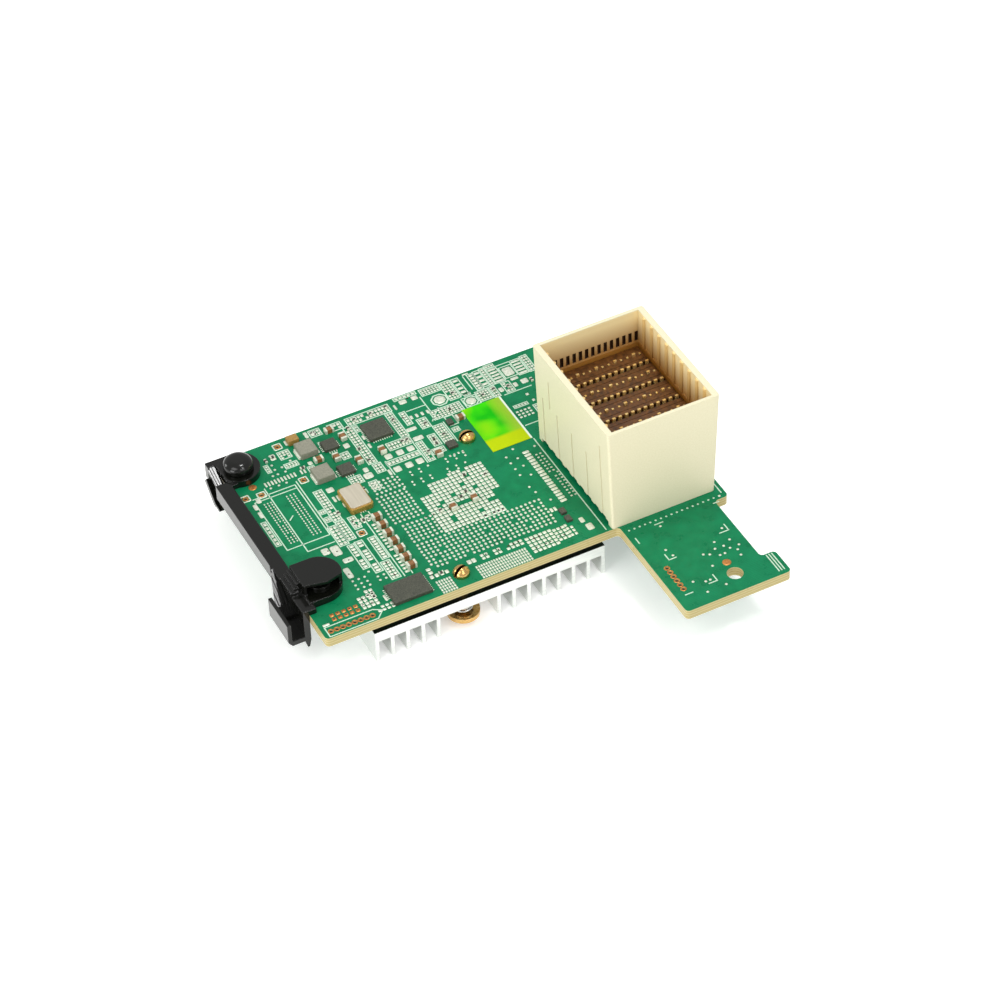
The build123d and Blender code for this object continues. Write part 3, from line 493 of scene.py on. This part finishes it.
# regular footprints: start, counts, pitch, pad size
footprints = [
    (42.5, 49.2, 4, 1, 1.25, 1.0, 0.62, 1.15), (55.4, 51.05, 1, 4, 1.0, 1.27, 1.2, 0.72),
    (60.4, 51.05, 1, 4, 1.0, 1.27, 1.2, 0.72), (63.6, 50.5, 1, 5, 1.0, 0.96, 1.9, 0.62),
    (69.1, 50.5, 1, 5, 1.0, 0.96, 1.9, 0.62), (5.3, 27.6, 3, 18, 0.7, 0.74, 0.30, 0.46),
    (10.2, 27.6, 3, 18, 0.8, 0.74, 0.30, 0.46), (7.9, 45.3, 13, 1, 0.72, 1.0, 0.42, 1.4),
    (12.3, 6.2, 2, 3, 0.95, 0.95, 0.8, 0.8), (10.2, 4.2, 4, 4, 0.95, 0.9, 0.78, 0.76),
    (12.4, 2.0, 4, 2, 1.0, 0.9, 0.75, 0.65), (58.05, 12.2, 1, 9, 1.0, 0.95, 1.5, 0.75),
    (58.05, 20.8, 1, 9, 1.0, 0.95, 1.5, 0.75), (60.1, 12.6, 2, 9, 0.9, 0.95, 0.5, 0.4),
    (59.6, 21.0, 2, 7, 0.9, 0.95, 0.5, 0.4), (25.3, 5.4, 4, 1, 1.1, 1.0, 0.8, 1.0),
    (25.6, 6.6, 1, 2, 1.0, 1.0, 1.0, 0.8), (33.6, 5.6, 2, 1, 1.0, 1.0, 0.9, 1.2),
    (36.6, 5.2, 2, 2, 0.9, 0.9, 0.7, 0.7), (39.4, 5.2, 2, 2, 0.9, 0.9, 0.7, 0.7),
    (42.1, 5.2, 4, 2, 1.0, 0.9, 0.75, 0.7), (46.4, 1.9, 6, 5, 1.0, 0.98, 0.8, 0.78),
    (52.3, 2.5, 3, 4, 0.95, 0.98, 0.75, 0.75), (54.9, 2.6, 2, 4, 0.9, 1.0, 0.6, 0.75),
    (54.6, 10.8, 2, 1, 0.8, 1.0, 0.6, 1.2), (44.2, 34.9, 4, 1, 0.95, 1.0, 0.45, 0.6),
    (21.9, 9.3, 1, 19, 1.0, 1.0, 1.0, 0.62), (18.6, 26.0, 4, 2, 1.0, 1.0, 0.7, 0.7),
    (62.2, 38.2, 4, 3, 0.9, 0.9, 0.6, 0.55)]
for x0, y0, nx, ny, dx, dy, w, d in footprints:
    padRows.append(flat(lattice(x0, y0, nx, ny, dx, dy), w, d))
# pairs of small vias along the lanes behind the field
pairPlaces = np.array([
    (32.1, 33.6), (35.0, 33.6), (37.0, 33.6), (39.0, 33.6), (34.1, 30.8), (36.1, 30.8), (38.1, 30.8),
    (42.0, 30.8), (44.0, 30.8), (46.0, 30.8), (43.0, 33.6), (45.0, 33.6), (47.0, 33.6), (32.1, 31.2)])
pairs = {"apart": (0.0, 0.95), "width": 0.46, "depth": 0.52}
bothOfPair = np.vstack([pairPlaces, pairPlaces + pairs["apart"]])
padRows.append(flat(bothOfPair, pairs["width"], pairs["depth"]))

# framed strips: pads in a box of ink, as (x0, y0, x1, y1, pads along, pads deep)
strips = {"fill": (0.84, 0.78), "inset": 0.14}
framed = [
    (14.6, 13.9, 16.0, 21.4, 1, 8), (16.3, 11.8, 17.9, 21.6, 1, 11), (19.1, 14.6, 20.6, 21.4, 1, 8),
    (18.3, 8.6, 20.2, 14.0, 2, 6), (13.4, 21.9, 15.3, 28.0, 2, 6), (15.4, 22.6, 17.2, 28.6, 2, 7),
    (15.3, 28.8, 17.1, 38.7, 2, 11), (13.9, 32.0, 15.1, 33.2, 2, 1), (13.9, 29.4, 15.1, 30.8, 2, 1),
    (13.6, 47.6, 16.4, 49.0, 4, 2), (13.8, 50.5, 16.2, 52.9, 3, 3), (22.0, 53.6, 24.4, 55.7, 3, 2),
    (30.2, 53.0, 39.9, 55.4, 12, 2), (38.1, 44.6, 39.7, 52.8, 2, 10), (28.7, 40.6, 30.6, 53.0, 2, 14),
    (34.3, 42.2, 39.5, 44.5, 7, 2), (29.2, 37.4, 31.0, 40.2, 2, 3), (39.8, 35.5, 41.2, 41.8, 2, 8),
    (41.5, 36.8, 44.3, 38.4, 3, 2), (42.8, 39.0, 44.4, 42.6, 2, 4), (45.0, 38.9, 47.2, 44.6, 3, 7),
    (43.0, 44.9, 45.0, 48.0, 2, 4), (46.4, 46.1, 53.2, 48.9, 9, 4), (47.4, 53.9, 51.6, 56.0, 6, 3),
    (51.9, 49.9, 54.3, 55.8, 3, 7), (61.3, 50.0, 62.3, 55.8, 1, 7), (70.5, 49.9, 72.0, 55.2, 2, 6),
    (57.3, 46.5, 60.1, 49.7, 4, 4), (60.4, 46.2, 61.7, 49.8, 2, 4), (63.3, 46.4, 65.1, 49.6, 2, 4),
    (41.8, 15.3, 46.8, 16.3, 5, 1), (26.2, 53.2, 29.0, 55.4, 3, 2), (24.9, 44.4, 26.6, 46.4, 2, 2),
    (40.8, 47.4, 42.0, 51.6, 1, 5), (48.2, 40.9, 49.6, 42.2, 2, 1), (2.4, 28.0, 3.4, 35.6, 1, 6),
    (22.4, 50.4, 22.9, 51.6, 1, 2), (26.3, 33.2, 28.0, 35.9, 2, 3), (9.8, 48.2, 10.6, 50.6, 1, 3),
    (55.0, 49.6, 56.4, 50.3, 2, 1), (58.2, 49.9, 59.6, 55.4, 1, 6), (41.6, 55.3, 46.6, 56.2, 5, 1),
    (48.4, 43.0, 50.2, 45.9, 1, 1), (31.9, 38.2, 39.2, 39.6, 8, 1), (18.1, 24.9, 19.6, 28.6, 2, 4),
    (30.8, 50.6, 31.6, 52.6, 1, 2), (23.2, 36.6, 25.8, 38.9, 3, 3), (17.4, 44.4, 18.8, 46.0, 2, 2),
    (66.0, 37.2, 66.9, 40.4, 1, 4), (62.3, 41.2, 65.4, 42.0, 4, 1), (62.5, 50.0, 64.7, 54.9, 1, 1),
    (68.0, 50.0, 70.2, 54.9, 1, 1), (65.0, 50.4, 67.8, 54.0, 1, 1), (53.9, 46.3, 57.1, 49.2, 1, 1),
    (62.6, 55.1, 64.6, 56.1, 3, 1), (54.6, 50.3, 56.2, 55.6, 1, 1), (59.7, 50.3, 61.1, 55.6, 1, 1)]
inkFrames = []
for x0, y0, x1, y1, nx, ny in framed:
    w, d = (x1 - x0 - 2 * strips["inset"]) / nx, (y1 - y0 - 2 * strips["inset"]) / ny
    cells = lattice(x0 + strips["inset"] + w / 2, y0 + strips["inset"] + d / 2, nx, ny, w, d)
    if nx * ny > 1:   # a box for one is a frame alone
        padRows.append(flat(cells, w * strips["fill"][0], d * strips["fill"][1]))
    inkFrames.append((x0, y0, x1, y1))

# leads that show round the chips: middle of the chip, half sizes, leads a side and the lead itself
leadRows = {"pitch": 0.5, "width": 0.26, "length": 0.62}
leaded = [
    (34.5, 48.95, 2.72, 2.72, 9, 9), (19.7, 4.4, 4.2, 2.9, 0, 10), (24.1, 49.5, 1.75, 1.75, 4, 4),
    (23.9, 41.25, 1.75, 1.75, 4, 4), (21.7, 32.3, 2.6, 3.5, 3, 0)]
for x, y, halfX, halfY, nx, ny in leaded:
    along = (np.arange(nx) - (nx - 1) / 2) * leadRows["pitch"]
    beside = (np.arange(ny) - (ny - 1) / 2) * leadRows["pitch"]
    for side in (-1, 1):
        rim = np.column_stack([x + along, np.full(nx, y + side * halfY)])
        end = np.column_stack([np.full(ny, x + side * halfX), y + beside])
        padRows.append(flat(rim, leadRows["width"], leadRows["length"]))
        padRows.append(flat(end, leadRows["length"], leadRows["width"]))
allPads = np.vstack(padRows)
large = allPads[:, 2] * allPads[:, 3] > padField["large"]
allPads = allPads[(chance.random(len(allPads)) > padField["missing"]) | large]
lay("bare_pads", pillow, allPads, padField["height"], tinPlate)
print("pads laid", len(allPads))

# hatched copper blocks along the front edge
hatch = {"pitch": (0.56, 0.78), "width": 0.42, "depth": 0.66, "height": 0.04}
hatchPlaces = np.vstack([
    lattice(25.5, 0.5, 6, 5, *hatch["pitch"]), lattice(34.2, 0.5, 20, 5, *hatch["pitch"])])
hatchRows = flat(hatchPlaces, hatch["width"], hatch["depth"])
lay("edge_pads", pillow, hatchRows, hatch["height"], tinPlate)

# small passives: dark bricks with tin ends a little proud of them, lying along x or turned across it
passives = {"length": 1.05, "depth": 0.55, "height": 0.38, "end": 0.26, "lap": 0.6, "proud": 0.02}
passivePlaces = np.array([
    (39.2, 54.6, 1), (29.6, 52.4, 1), (44.2, 46.0, 1), (43.5, 41.0, 0), (43.4, 39.6, 0),
    (37.6, 43.4, 1), (38.7, 43.4, 1), (41.0, 38.1, 1), (28.9, 45.7, 0), (61.2, 48.6, 1),
    (64.2, 47.9, 1), (69.4, 47.4, 1), (17.1, 30.6, 1), (16.5, 46.2, 0), (12.5, 52.1, 0),
    (35.3, 21.4, 1), (42.1, 24.0, 0), (29.2, 41.6, 1), (46.0, 41.2, 1), (50.4, 47.5, 0),
    (38.9, 50.2, 1), (24.6, 34.4, 1), (20.6, 26.4, 0), (35.6, 54.2, 1), (31.9, 54.2, 1),
    (53.2, 51.6, 1), (58.4, 48.0, 1), (27.4, 5.6, 0), (10.8, 51.6, 1), (40.6, 23.1, 0),
    (47.9, 26.4, 1), (44.0, 28.4, 0)])
turnsOf = passivePlaces[:, 2] * math.pi / 2
onBoard = np.column_stack([passivePlaces[:, :2], np.zeros(len(passivePlaces))])
count = len(onBoard)
bodyHalf = passives["length"] / 2 - passives["end"] * passives["lap"]
bodySize = np.array([[bodyHalf, passives["depth"] / 2, passives["height"]]])
endSize = np.array([[
    passives["end"] / 2, passives["depth"] / 2 + passives["proud"],
    passives["height"] + passives["proud"]]])
reach = passives["length"] / 2 - passives["end"] / 2
step = np.column_stack([np.cos(turnsOf), np.sin(turnsOf), np.zeros(count)]) * reach
bodies = stamp(block, onBoard, np.repeat(bodySize, count, 0), turnsOf)
endPlaces = np.vstack([onBoard - step, onBoard + step])
ends = stamp(block, endPlaces, np.repeat(endSize, 2 * count, 0), np.tile(turnsOf, 2))
meshFrom("small_passives", bodies, epoxy, smooth=False)
meshFrom("passive_ends", ends, tinPlate, smooth=False)

# inductor terminals: a low tin block at the left and right end of each inductor, half under its body
terminals = {
    "places": ((19.25, 50.35), (19.1, 42.05)), "out": 1.88, "width": 0.64, "depth": 3.0, "height": 0.5}
sides = np.tile([(-terminals["out"], 0), (terminals["out"], 0)], (2, 1))
terminalPlaces = np.repeat(terminals["places"], 2, axis=0) + sides
terminalRows = flat(terminalPlaces, terminals["width"], terminals["depth"])
lay("inductor_terminals", block, terminalRows, terminals["height"], tinPlate)

# loose vias of the tab, the left edge and the back left corner, drilled through to the lower face
looseSize = {"width": 0.62, "height": 0.05}
looseVias = np.array([
    (68.8, -10.15), (69.3, -12.15), (81.5, -10.15), (78.2, -12.85), (77.4, -14.55), (79.3, -14.65),
    (81.2, -13.65), (80.1, -15.75), (82.1, -15.75), (77.4, -16.55), (78.5, -16.55), (81.2, -16.85),
    (81.0, -18.45), (74.6, -14.85), (75.7, -15.45), (74.6, -18.45), (71.2, -3.75), (70.2, -24.25),
    (74.4, -24.15), (69.1, -20.45), (71.3, -21.55), (72.3, -21.55), (8.4, 43.95), (10.2, 43.95),
    (11.9, 43.95), (10.3, 47.05), (11.4, 47.05), (13.1, 47.05), (11.4, 48.55), (13.0, 48.55),
    (11.4, 50.05), (15.3, 49.55), (11.3, 9.45), (12.6, 9.45), (13.9, 9.45), (11.3, 10.65),
    (12.6, 10.65), (13.9, 10.65), (11.3, 11.95), (12.6, 11.95), (13.9, 11.95), (16.2, 9.65),
    (17.5, 9.65), (16.2, 10.75), (17.5, 10.75), (15.2, 12.85), (53.9, 28.95), (53.9, 26.95),
    (53.9, 24.95), (53.9, 22.95), (53.9, 18.95), (54.3, 17.0), (55.8, 27.6), (55.8, 25.1),
    (55.9, 22.0), (55.9, 13.6), (60.5, 29.2), (85.7, -1.85), (56.2, 30.5)])
looseRows = flat(looseVias, looseSize["width"], looseSize["width"])
lay("loose_vias", dome, looseRows, looseSize["height"], tinPlate)
underDome = turned(under(domeRings), 8)
lay("under_vias", underDome, looseRows, looseSize["height"], tinPlate, boardUnder)

# row of filled vias between the connector and the tab
rowVias = {"start": (65.2, -1.85), "count": 17, "pitch": 1.2, "width": 0.5, "height": 0.05}
tabRow = lattice(*rowVias["start"], rowVias["count"], 1, rowVias["pitch"], 1.0)
lay("tab_row_vias", dome, flat(tabRow, rowVias["width"], rowVias["width"]), rowVias["height"], silkInk)

# probe discs of bare copper
probes = {"steps": 28, "height": 0.05}
targets = np.array([(5.3, 45.95, 1.7, 1.7), (77.5, -18.95, 1.8, 1.8)])
lay("copper_targets", turned(discRings, probes["steps"]), targets, probes["height"], copper)

# octagon pads of tin, each in a frame of ink
octagon = {"sides": 8, "height": 0.05, "frame": 1.5, "frameHeight": 0.03}
octagons = np.array([(50.0, 51.25, 2.6, 2.6), (55.5, 47.75, 2.3, 2.3)])
octagonDisc = turned(discRings, octagon["sides"])
lay("octagon_pads", octagonDisc, octagons, octagon["height"], tinPlate)
octagonRims = turned([(0.80, -0.2), (1.0, -0.2), (0.98, 0.8), (0.82, 0.8)], octagon["sides"], loop=True)
frameRows = octagons * (1, 1, octagon["frame"], octagon["frame"])
lay("octagon_frames", octagonRims, frameRows, octagon["frameHeight"], silkInk)

# bare copper pads behind the pin header's holes
header = {
    "start": (3.7, 4.25), "counts": (5, 2), "pitch": (1.27, 1.2), "width": 0.95, "depth": 0.9,
    "height": 0.045}
headerPads = lattice(*header["start"], *header["counts"], *header["pitch"])
lay("header_pads", pillow, flat(headerPads, header["width"], header["depth"]), header["height"], copper)

# collars of the plated holes: a copper ring on both faces, and a square of tin round each test hole
collars = {"width": 1.28, "height": 0.055, "steps": 20, "square": 1.95, "squareHeight": 0.04}
testHoles = np.array([(18.8, 23.35), (14.7, 54.55), (2.65, 43.55), (5.95, 43.05), (15.2, 42.95)])
plated = np.vstack([
    lattice(1.75, 1.65, 8, 1, 1.27, 1.0), lattice(66.5, -21.25, 1, 6, 1.0, 1.3), testHoles])
ringRows = flat(plated, collars["width"], collars["width"])
topCollar = turned(collarRings, collars["steps"], loop=True)
lay("hole_collars", topCollar, ringRows, collars["height"], copper)
underCollar = turned(under(collarRings), collars["steps"], loop=True)
lay("under_collars", underCollar, ringRows, collars["height"], copper, boardUnder)
# shade in the plated holes: a dark disc part of the way down each bore
shades = {"width": 0.8, "height": 0.03, "level": -0.3, "steps": 12}
shadeRows = flat(plated, shades["width"], shades["width"])
shadeDisc = turned(discRings, shades["steps"])
lay("hole_shades", shadeDisc, shadeRows, shades["height"], drilled, shades["level"])
squareRing = turned([(0.70, -0.2), (1.0, -0.2), (0.98, 0.7), (0.72, 0.7)], 16, 8, loop=True)
squareRows = flat(testHoles, collars["square"], collars["square"])
lay("hole_squares", squareRing, squareRows, collars["squareHeight"], tinPlate)

# press-fit tails of the connector under the board, one for each contact
tails = {
    "rows": 9, "columns": 15, "pitch": (1.42, 3.03), "width": 0.5, "length": 0.55, "ring": 1.0,
    "ringHeight": 0.04, "ringSteps": 12}
shroudMiddle = np.array(middle[:2]) * 1000 - corner[:2]
tailStart = shroudMiddle - (np.array([tails["columns"], tails["rows"]]) - 1) / 2 * tails["pitch"]
tailGrid = lattice(*tailStart, tails["columns"], tails["rows"], *tails["pitch"])
tailShape = turned([(0, -1.0), (0.7, -0.9), (1.0, -0.4), (1.0, 0.1), (0, 0.2)], 8)
tailRows = flat(tailGrid, tails["width"], tails["width"])
lay("press_fit_tails", tailShape, tailRows, tails["length"], tinPlate, boardUnder)
tailCollar = turned(under(collarRings), tails["ringSteps"], loop=True)
tailRingRows = flat(tailGrid, tails["ring"], tails["ring"])
lay("tail_rings", tailCollar, tailRingRows, tails["ringHeight"], tinPlate, boardUnder)

# print: straight strokes of ink, each a low bar laid from end to end
ink = {"width": 0.26, "height": 0.02}
lines = [
    (3.8, 26.05, 13.1, 26.05), (3.8, 26.05, 3.8, 41.55), (3.8, 41.55, 13.1, 41.55),
    (3.8, 42.55, 13.1, 42.55), (13.1, 26.05, 13.1, 42.55), (13.7, 24.0, 13.7, 43.4),
    (7.2, 23.75, 13.0, 23.75), (7.2, 23.75, 7.2, 44.55), (7.9, 33.6, 8.9, 34.5),
    (1.0, 0.35, 11.3, 0.35), (1.0, 3.05, 11.3, 3.05), (1.0, 0.35, 1.0, 3.05), (11.3, 0.35, 13.0, 2.05),
    (11.3, 3.05, 13.0, 2.05), (57.4, 50.9, 57.4, 55.4), (61.4, 0.4, 61.4, 31.5),
    (42.4, 51.3, 46.6, 51.3), (46.8, 48.6, 46.8, 54.0), (61.8, 35.6, 66.0, 35.6),
    (62.4, 46.0, 68.6, 46.0), (65.0, 54.9, 68.2, 54.9), (86.5, -1.2, 86.5, 6.0),
    (85.2, -26.0, 85.2, -21.0), (85.8, -26.0, 85.8, -21.0), (86.4, -26.0, 86.4, -21.0),
    (25.0, 33.3, 25.0, 34.6), (32.0, 35.4, 32.0, 39.9), (39.4, 35.4, 39.4, 41.9),
    (45.8, 46.1, 48.6, 49.2), (47.6, 38.2, 47.6, 44.8), (22.6, 8.2, 22.6, 28.4),
    (20.9, 8.2, 20.9, 28.4), (68.0, -11.2, 68.0, -12.9), (68.0, -12.9, 69.6, -12.9),
    (73.4, -20.6, 73.4, -22.4), (71.6, -22.4, 73.4, -22.4), (80.4, -11.2, 82.4, -11.2),
    (82.4, -9.4, 82.4, -11.2), (70.4, -2.9, 72.2, -2.9), (66.0, -22.9, 67.6, -22.9),
    (83.6, -3.2, 84.8, -3.2), (65.2, -4.4, 65.2, -6.0)]
x0, y0, x1, y1 = np.array(inkFrames).T
frameSides = ((x0, y0, x1, y0), (x1, y0, x1, y1), (x1, y1, x0, y1), (x0, y1, x0, y0))
edges = np.concatenate([np.stack(s, 1) for s in frameSides])
strokes = np.vstack([np.array(lines), edges])
run = strokes[:, 2:] - strokes[:, :2]
length = np.hypot(run[:, 0], run[:, 1])
midway = np.column_stack([(strokes[:, :2] + strokes[:, 2:]) / 2, np.zeros(len(strokes))])
inkSize = np.column_stack([
    (length + ink["width"]) / 2, np.full(len(strokes), ink["width"] / 2),
    np.full(len(strokes), ink["height"])])
heading = np.arctan2(run[:, 1], run[:, 0])
meshFrom("printed_lines", stamp(bar, midway, inkSize, heading), silkInk, smooth=False)
print("print laid", len(strokes), "strokes")

# drilled eyes: small dark domes among the pads, painted as the shade in the mouths of open vias
eyes = {"width": 0.5, "height": 0.065}
eyePlaces = np.array([
    (25.6, 5.95), (27.1, 5.95), (37.4, 5.95), (40.2, 5.95), (42.4, 5.95), (43.5, 5.95), (44.7, 6.05),
    (47.8, 5.35), (49.0, 5.45), (53.7, 5.45), (47.1, 2.85), (49.2, 2.95), (50.2, 2.95), (52.5, 3.35),
    (53.5, 3.35), (10.7, 21.95), (12.2, 20.95), (13.2, 17.65), (11.5, 14.05), (10.8, 6.55),
    (13.3, 7.65), (13.2, 6.45), (12.0, 4.75), (10.2, 5.05), (19.4, 13.45), (19.4, 11.45), (19.3, 9.65),
    (31.9, 21.2), (33.6, 21.2), (61.2, 48.9), (64.2, 47.9), (40.9, 50.0), (3.7, 4.25), (4.97, 5.45),
    (6.24, 4.25), (7.51, 5.45), (8.78, 4.25), (8.78, 5.45), (44.4, 55.0)])
lay("via_mouth_shades", dome, flat(eyePlaces, eyes["width"], eyes["width"]), eyes["height"], drilled)

# rear rivet: a smooth dome over the ear, straight shank and tapered barb below, turned about its own axis
rivet = {
    "place": (4.7, 51.25), "head": 3.1, "low": 1.6, "top": 3.9, "round": (1.9, 1.4), "broken": 0.12,
    "shank": 1.9, "barb": (2.25, 1.35), "barbLength": 2.4, "steps": 72}
bend = np.linspace(0, math.pi / 2, 12)
shoulder = np.column_stack([
    rivet["head"] - rivet["round"][0] * (1 - np.cos(bend)),
    rivet["top"] - rivet["round"][1] * (1 - np.sin(bend))])
barbEnd = boardUnder - rivet["barbLength"]
rivetRings = [
    (0, barbEnd), (rivet["barb"][1], barbEnd), (rivet["barb"][0], boardUnder),
    (rivet["shank"], boardUnder), (rivet["shank"], rivet["low"]),
    (rivet["head"] - rivet["broken"], rivet["low"]),
    (rivet["head"], rivet["low"] + rivet["broken"]), *shoulder.tolist(), (0, rivet["top"])]
rivetShape = stamp(turned(rivetRings, rivet["steps"]), (*rivet["place"], 0.0), (1, 1, 1))
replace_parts(meshFrom("rear_rivet_head", rivetShape, nylon), "rear_rivet")

# split heads: arcs of a dome that stay on one side of the slot, each closed by its straight chord
heads = {
    "radius": 1.72, "slot": 0.33, "low": 0.02, "rim": 0.35, "rise": 1.45, "crown": 0.03, "peak": 0.002,
    "steps": 40, "turns": (20, 200, 0, 180), "sharp": 40,
    "pins": ((30.8, 3.5), (30.8, 3.5), (49.6, 37.9), (49.6, 37.9))}
climbTo = math.acos((heads["slot"] + heads["crown"]) / heads["radius"])
bend = np.concatenate([[0], np.linspace(0, climbTo, 12)])[:, None]
r = heads["radius"] * np.cos(bend)
h = heads["rim"] + heads["rise"] * np.sin(bend)
h[0] = heads["low"]
start = np.arcsin(heads["slot"] / r)
arc = start + (math.pi - 2 * start) * np.linspace(0, 1, heads["steps"])
dish = np.stack([r * np.cos(arc), r * np.sin(arc), np.broadcast_to(h, arc.shape)], 2)
foot = np.full((1, heads["steps"], 3), (0.0, heads["radius"] / 2, heads["low"]))
tipPlace = (0.0, heads["slot"] + heads["crown"] / 2, h[-1, 0] + heads["peak"])
tip = np.full((1, heads["steps"], 3), tipPlace)
halfHead = skin(np.concatenate([foot, dish, tip]))
headPlaces = np.column_stack([heads["pins"], np.zeros(4)])
headShapes = stamp(halfHead, headPlaces, np.ones((4, 3)), np.radians(heads["turns"]))
splitHeads = meshFrom("split_heads", headShapes, brass)
splitHeads.data.set_sharp_from_angle(angle=math.radians(heads["sharp"]))

# push-pin springs: a round wire section carried along a helix of a constant rise
coil = {
    "radius": 1.8, "wire": 0.25, "turns": 2, "steps": 72, "sides": 12,
    "pins": {"front": (30.8, 3.5), "back": (49.6, 37.9)}}
for side, (x, y) in coil["pins"].items():
    low, high = (p.z * 1000 - corner[2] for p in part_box(side + "_spring"))
    t = np.concatenate([[0], np.linspace(0, 1, coil["steps"]), [1]])[:, None]
    wire = np.concatenate([[0], np.full(coil["steps"], coil["wire"]), [0]])[:, None]
    turn = 2 * math.pi * coil["turns"] * t
    around = -2 * math.pi * np.arange(coil["sides"])[None] / coil["sides"]
    out = coil["radius"] + wire * np.cos(around)
    rise = low + coil["wire"] + (high - low - 2 * coil["wire"]) * t + wire * np.sin(around)
    helix = skin(np.stack([out * np.cos(turn), out * np.sin(turn), rise], 2))
    coilShape = stamp(helix, (x, y, 0.0), (1, 1, 1))
    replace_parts(meshFrom(side + "_coil", coilShape, springSteel), side + "_spring")
print("rivet, pin heads and springs turned")

# floor: a pale paper sweep, lifted to white for the eye and in reflections
floorMat = bpy.data.materials.new("white_paper_sweep")
floorMat.use_nodes = True
tree = floorMat.node_tree
shader = tree.nodes["Principled BSDF"]
path = put(tree, "ShaderNodeLightPath")
seen = put(tree, "ShaderNodeMath", {
    0: path.outputs["Is Camera Ray"], 1: path.outputs["Is Glossy Ray"]}, operation="MAXIMUM")
paperLift = 0.34
lift = put(tree, "ShaderNodeMath", {0: seen.outputs[0], 1: paperLift}, operation="MULTIPLY")
put(tree, shader, {
    "Base Color": toLinear("f6f6f4"), "Roughness": 0.9, "Specular IOR Level": 0.1,
    "Emission Color": (1, 1, 1, 1), "Emission Strength": lift.outputs[0]})
# sweep: a flat sheet, height a constant over its two parameters
sweep = {"half": 3.0, "cells": 8}
across = np.linspace(-sweep["half"], sweep["half"], sweep["cells"] + 1)
u, v = np.meshgrid(across, across, indexing="ij")
i, j = np.meshgrid(np.arange(sweep["cells"]), np.arange(sweep["cells"]), indexing="ij")
first = i * (sweep["cells"] + 1) + j
nextRow = first + sweep["cells"] + 1
sheetFaces = np.stack([first, nextRow, nextRow + 1, first + 1], 2).reshape(-1, 4)
sheet = bpy.data.meshes.new("sweep")
sheet.from_pydata(np.stack([u, v, np.zeros_like(u)], 2).reshape(-1, 3).tolist(), [], sheetFaces.tolist())
sheet.materials.append(floorMat)
floor = bpy.data.objects.new("sweep", sheet)
bpy.context.collection.objects.link(floor)

# light: an even white room, broad soft boxes, and two small ones whose glare falls on the latch's ramps
skyLevel = 0.62
world = bpy.data.worlds.new("studio")
bpy.context.scene.world = world
world.use_nodes = True
tree = world.node_tree
path = put(tree, "ShaderNodeLightPath")
level = put(tree, "ShaderNodeMapRange", {0: path.outputs["Is Camera Ray"], 3: skyLevel, 4: 1.0})
put(tree, tree.nodes["Background"], {"Color": (1, 1, 1, 1), "Strength": level.outputs[0]})
# place, power in watts and side in metres of each soft box
softBoxes = {
    "key": ((-0.45, -0.15, 0.62), 1.4, 0.4), "front": ((0.10, -0.62, 0.55), 1.2, 0.4),
    "left": ((-0.80, -0.30, 0.16), 2.5, 0.4), "rim": ((-0.60, 0.58, 0.30), 1.0, 0.24),
    "sparkle": ((0.081, -0.204, 0.449), 0.25, 0.07), "glint": ((0.081, 0.084, 0.495), 0.55, 0.07)}
for name, (place, watts, side) in softBoxes.items():
    lamp = bpy.data.objects.new(name, bpy.data.lights.new(name, "AREA"))
    lamp.data.energy = watts
    lamp.data.size = side
    lamp.location = place
    lamp.rotation_euler = (-Vector(place)).to_track_quat("-Z", "Y").to_euler()
    bpy.context.collection.objects.link(lamp)

# camera at the photograph's angle: degrees, metres, focal length as a share of the picture's width, and
# the place it looks at in mm on the board
view = {
    "azimuth": -25.72, "elevation": 43.23, "roll": -2.43, "distance": 0.6886, "focal": 3.4537,
    "sensor": 36.0, "aim": (47.02, 18.43, 0.0)}
aim = (corner + np.array(view["aim"])) / 1000
az, el, roll = (math.radians(view[k]) for k in ("azimuth", "elevation", "roll"))
back = np.array([math.sin(az) * math.cos(el), -math.cos(az) * math.cos(el), math.sin(el)])
right = np.array([math.cos(az), math.sin(az), 0.0])
up = np.cross(back, right)
acrossFrame = right * math.cos(roll) + up * math.sin(roll)
upFrame = up * math.cos(roll) - right * math.sin(roll)
camera = bpy.data.objects.new("camera", bpy.data.cameras.new("camera"))
bpy.context.collection.objects.link(camera)
pose = np.eye(4)
pose[:3] = np.column_stack([acrossFrame, upFrame, back, aim + back * view["distance"]])
camera.matrix_world = Matrix(pose.tolist())
camera.data.sensor_width = view["sensor"]
camera.data.lens = view["sensor"] * view["focal"]
bpy.context.scene.camera = camera
bpy.context.scene.view_settings.view_transform = "Standard"

print("scene ready")
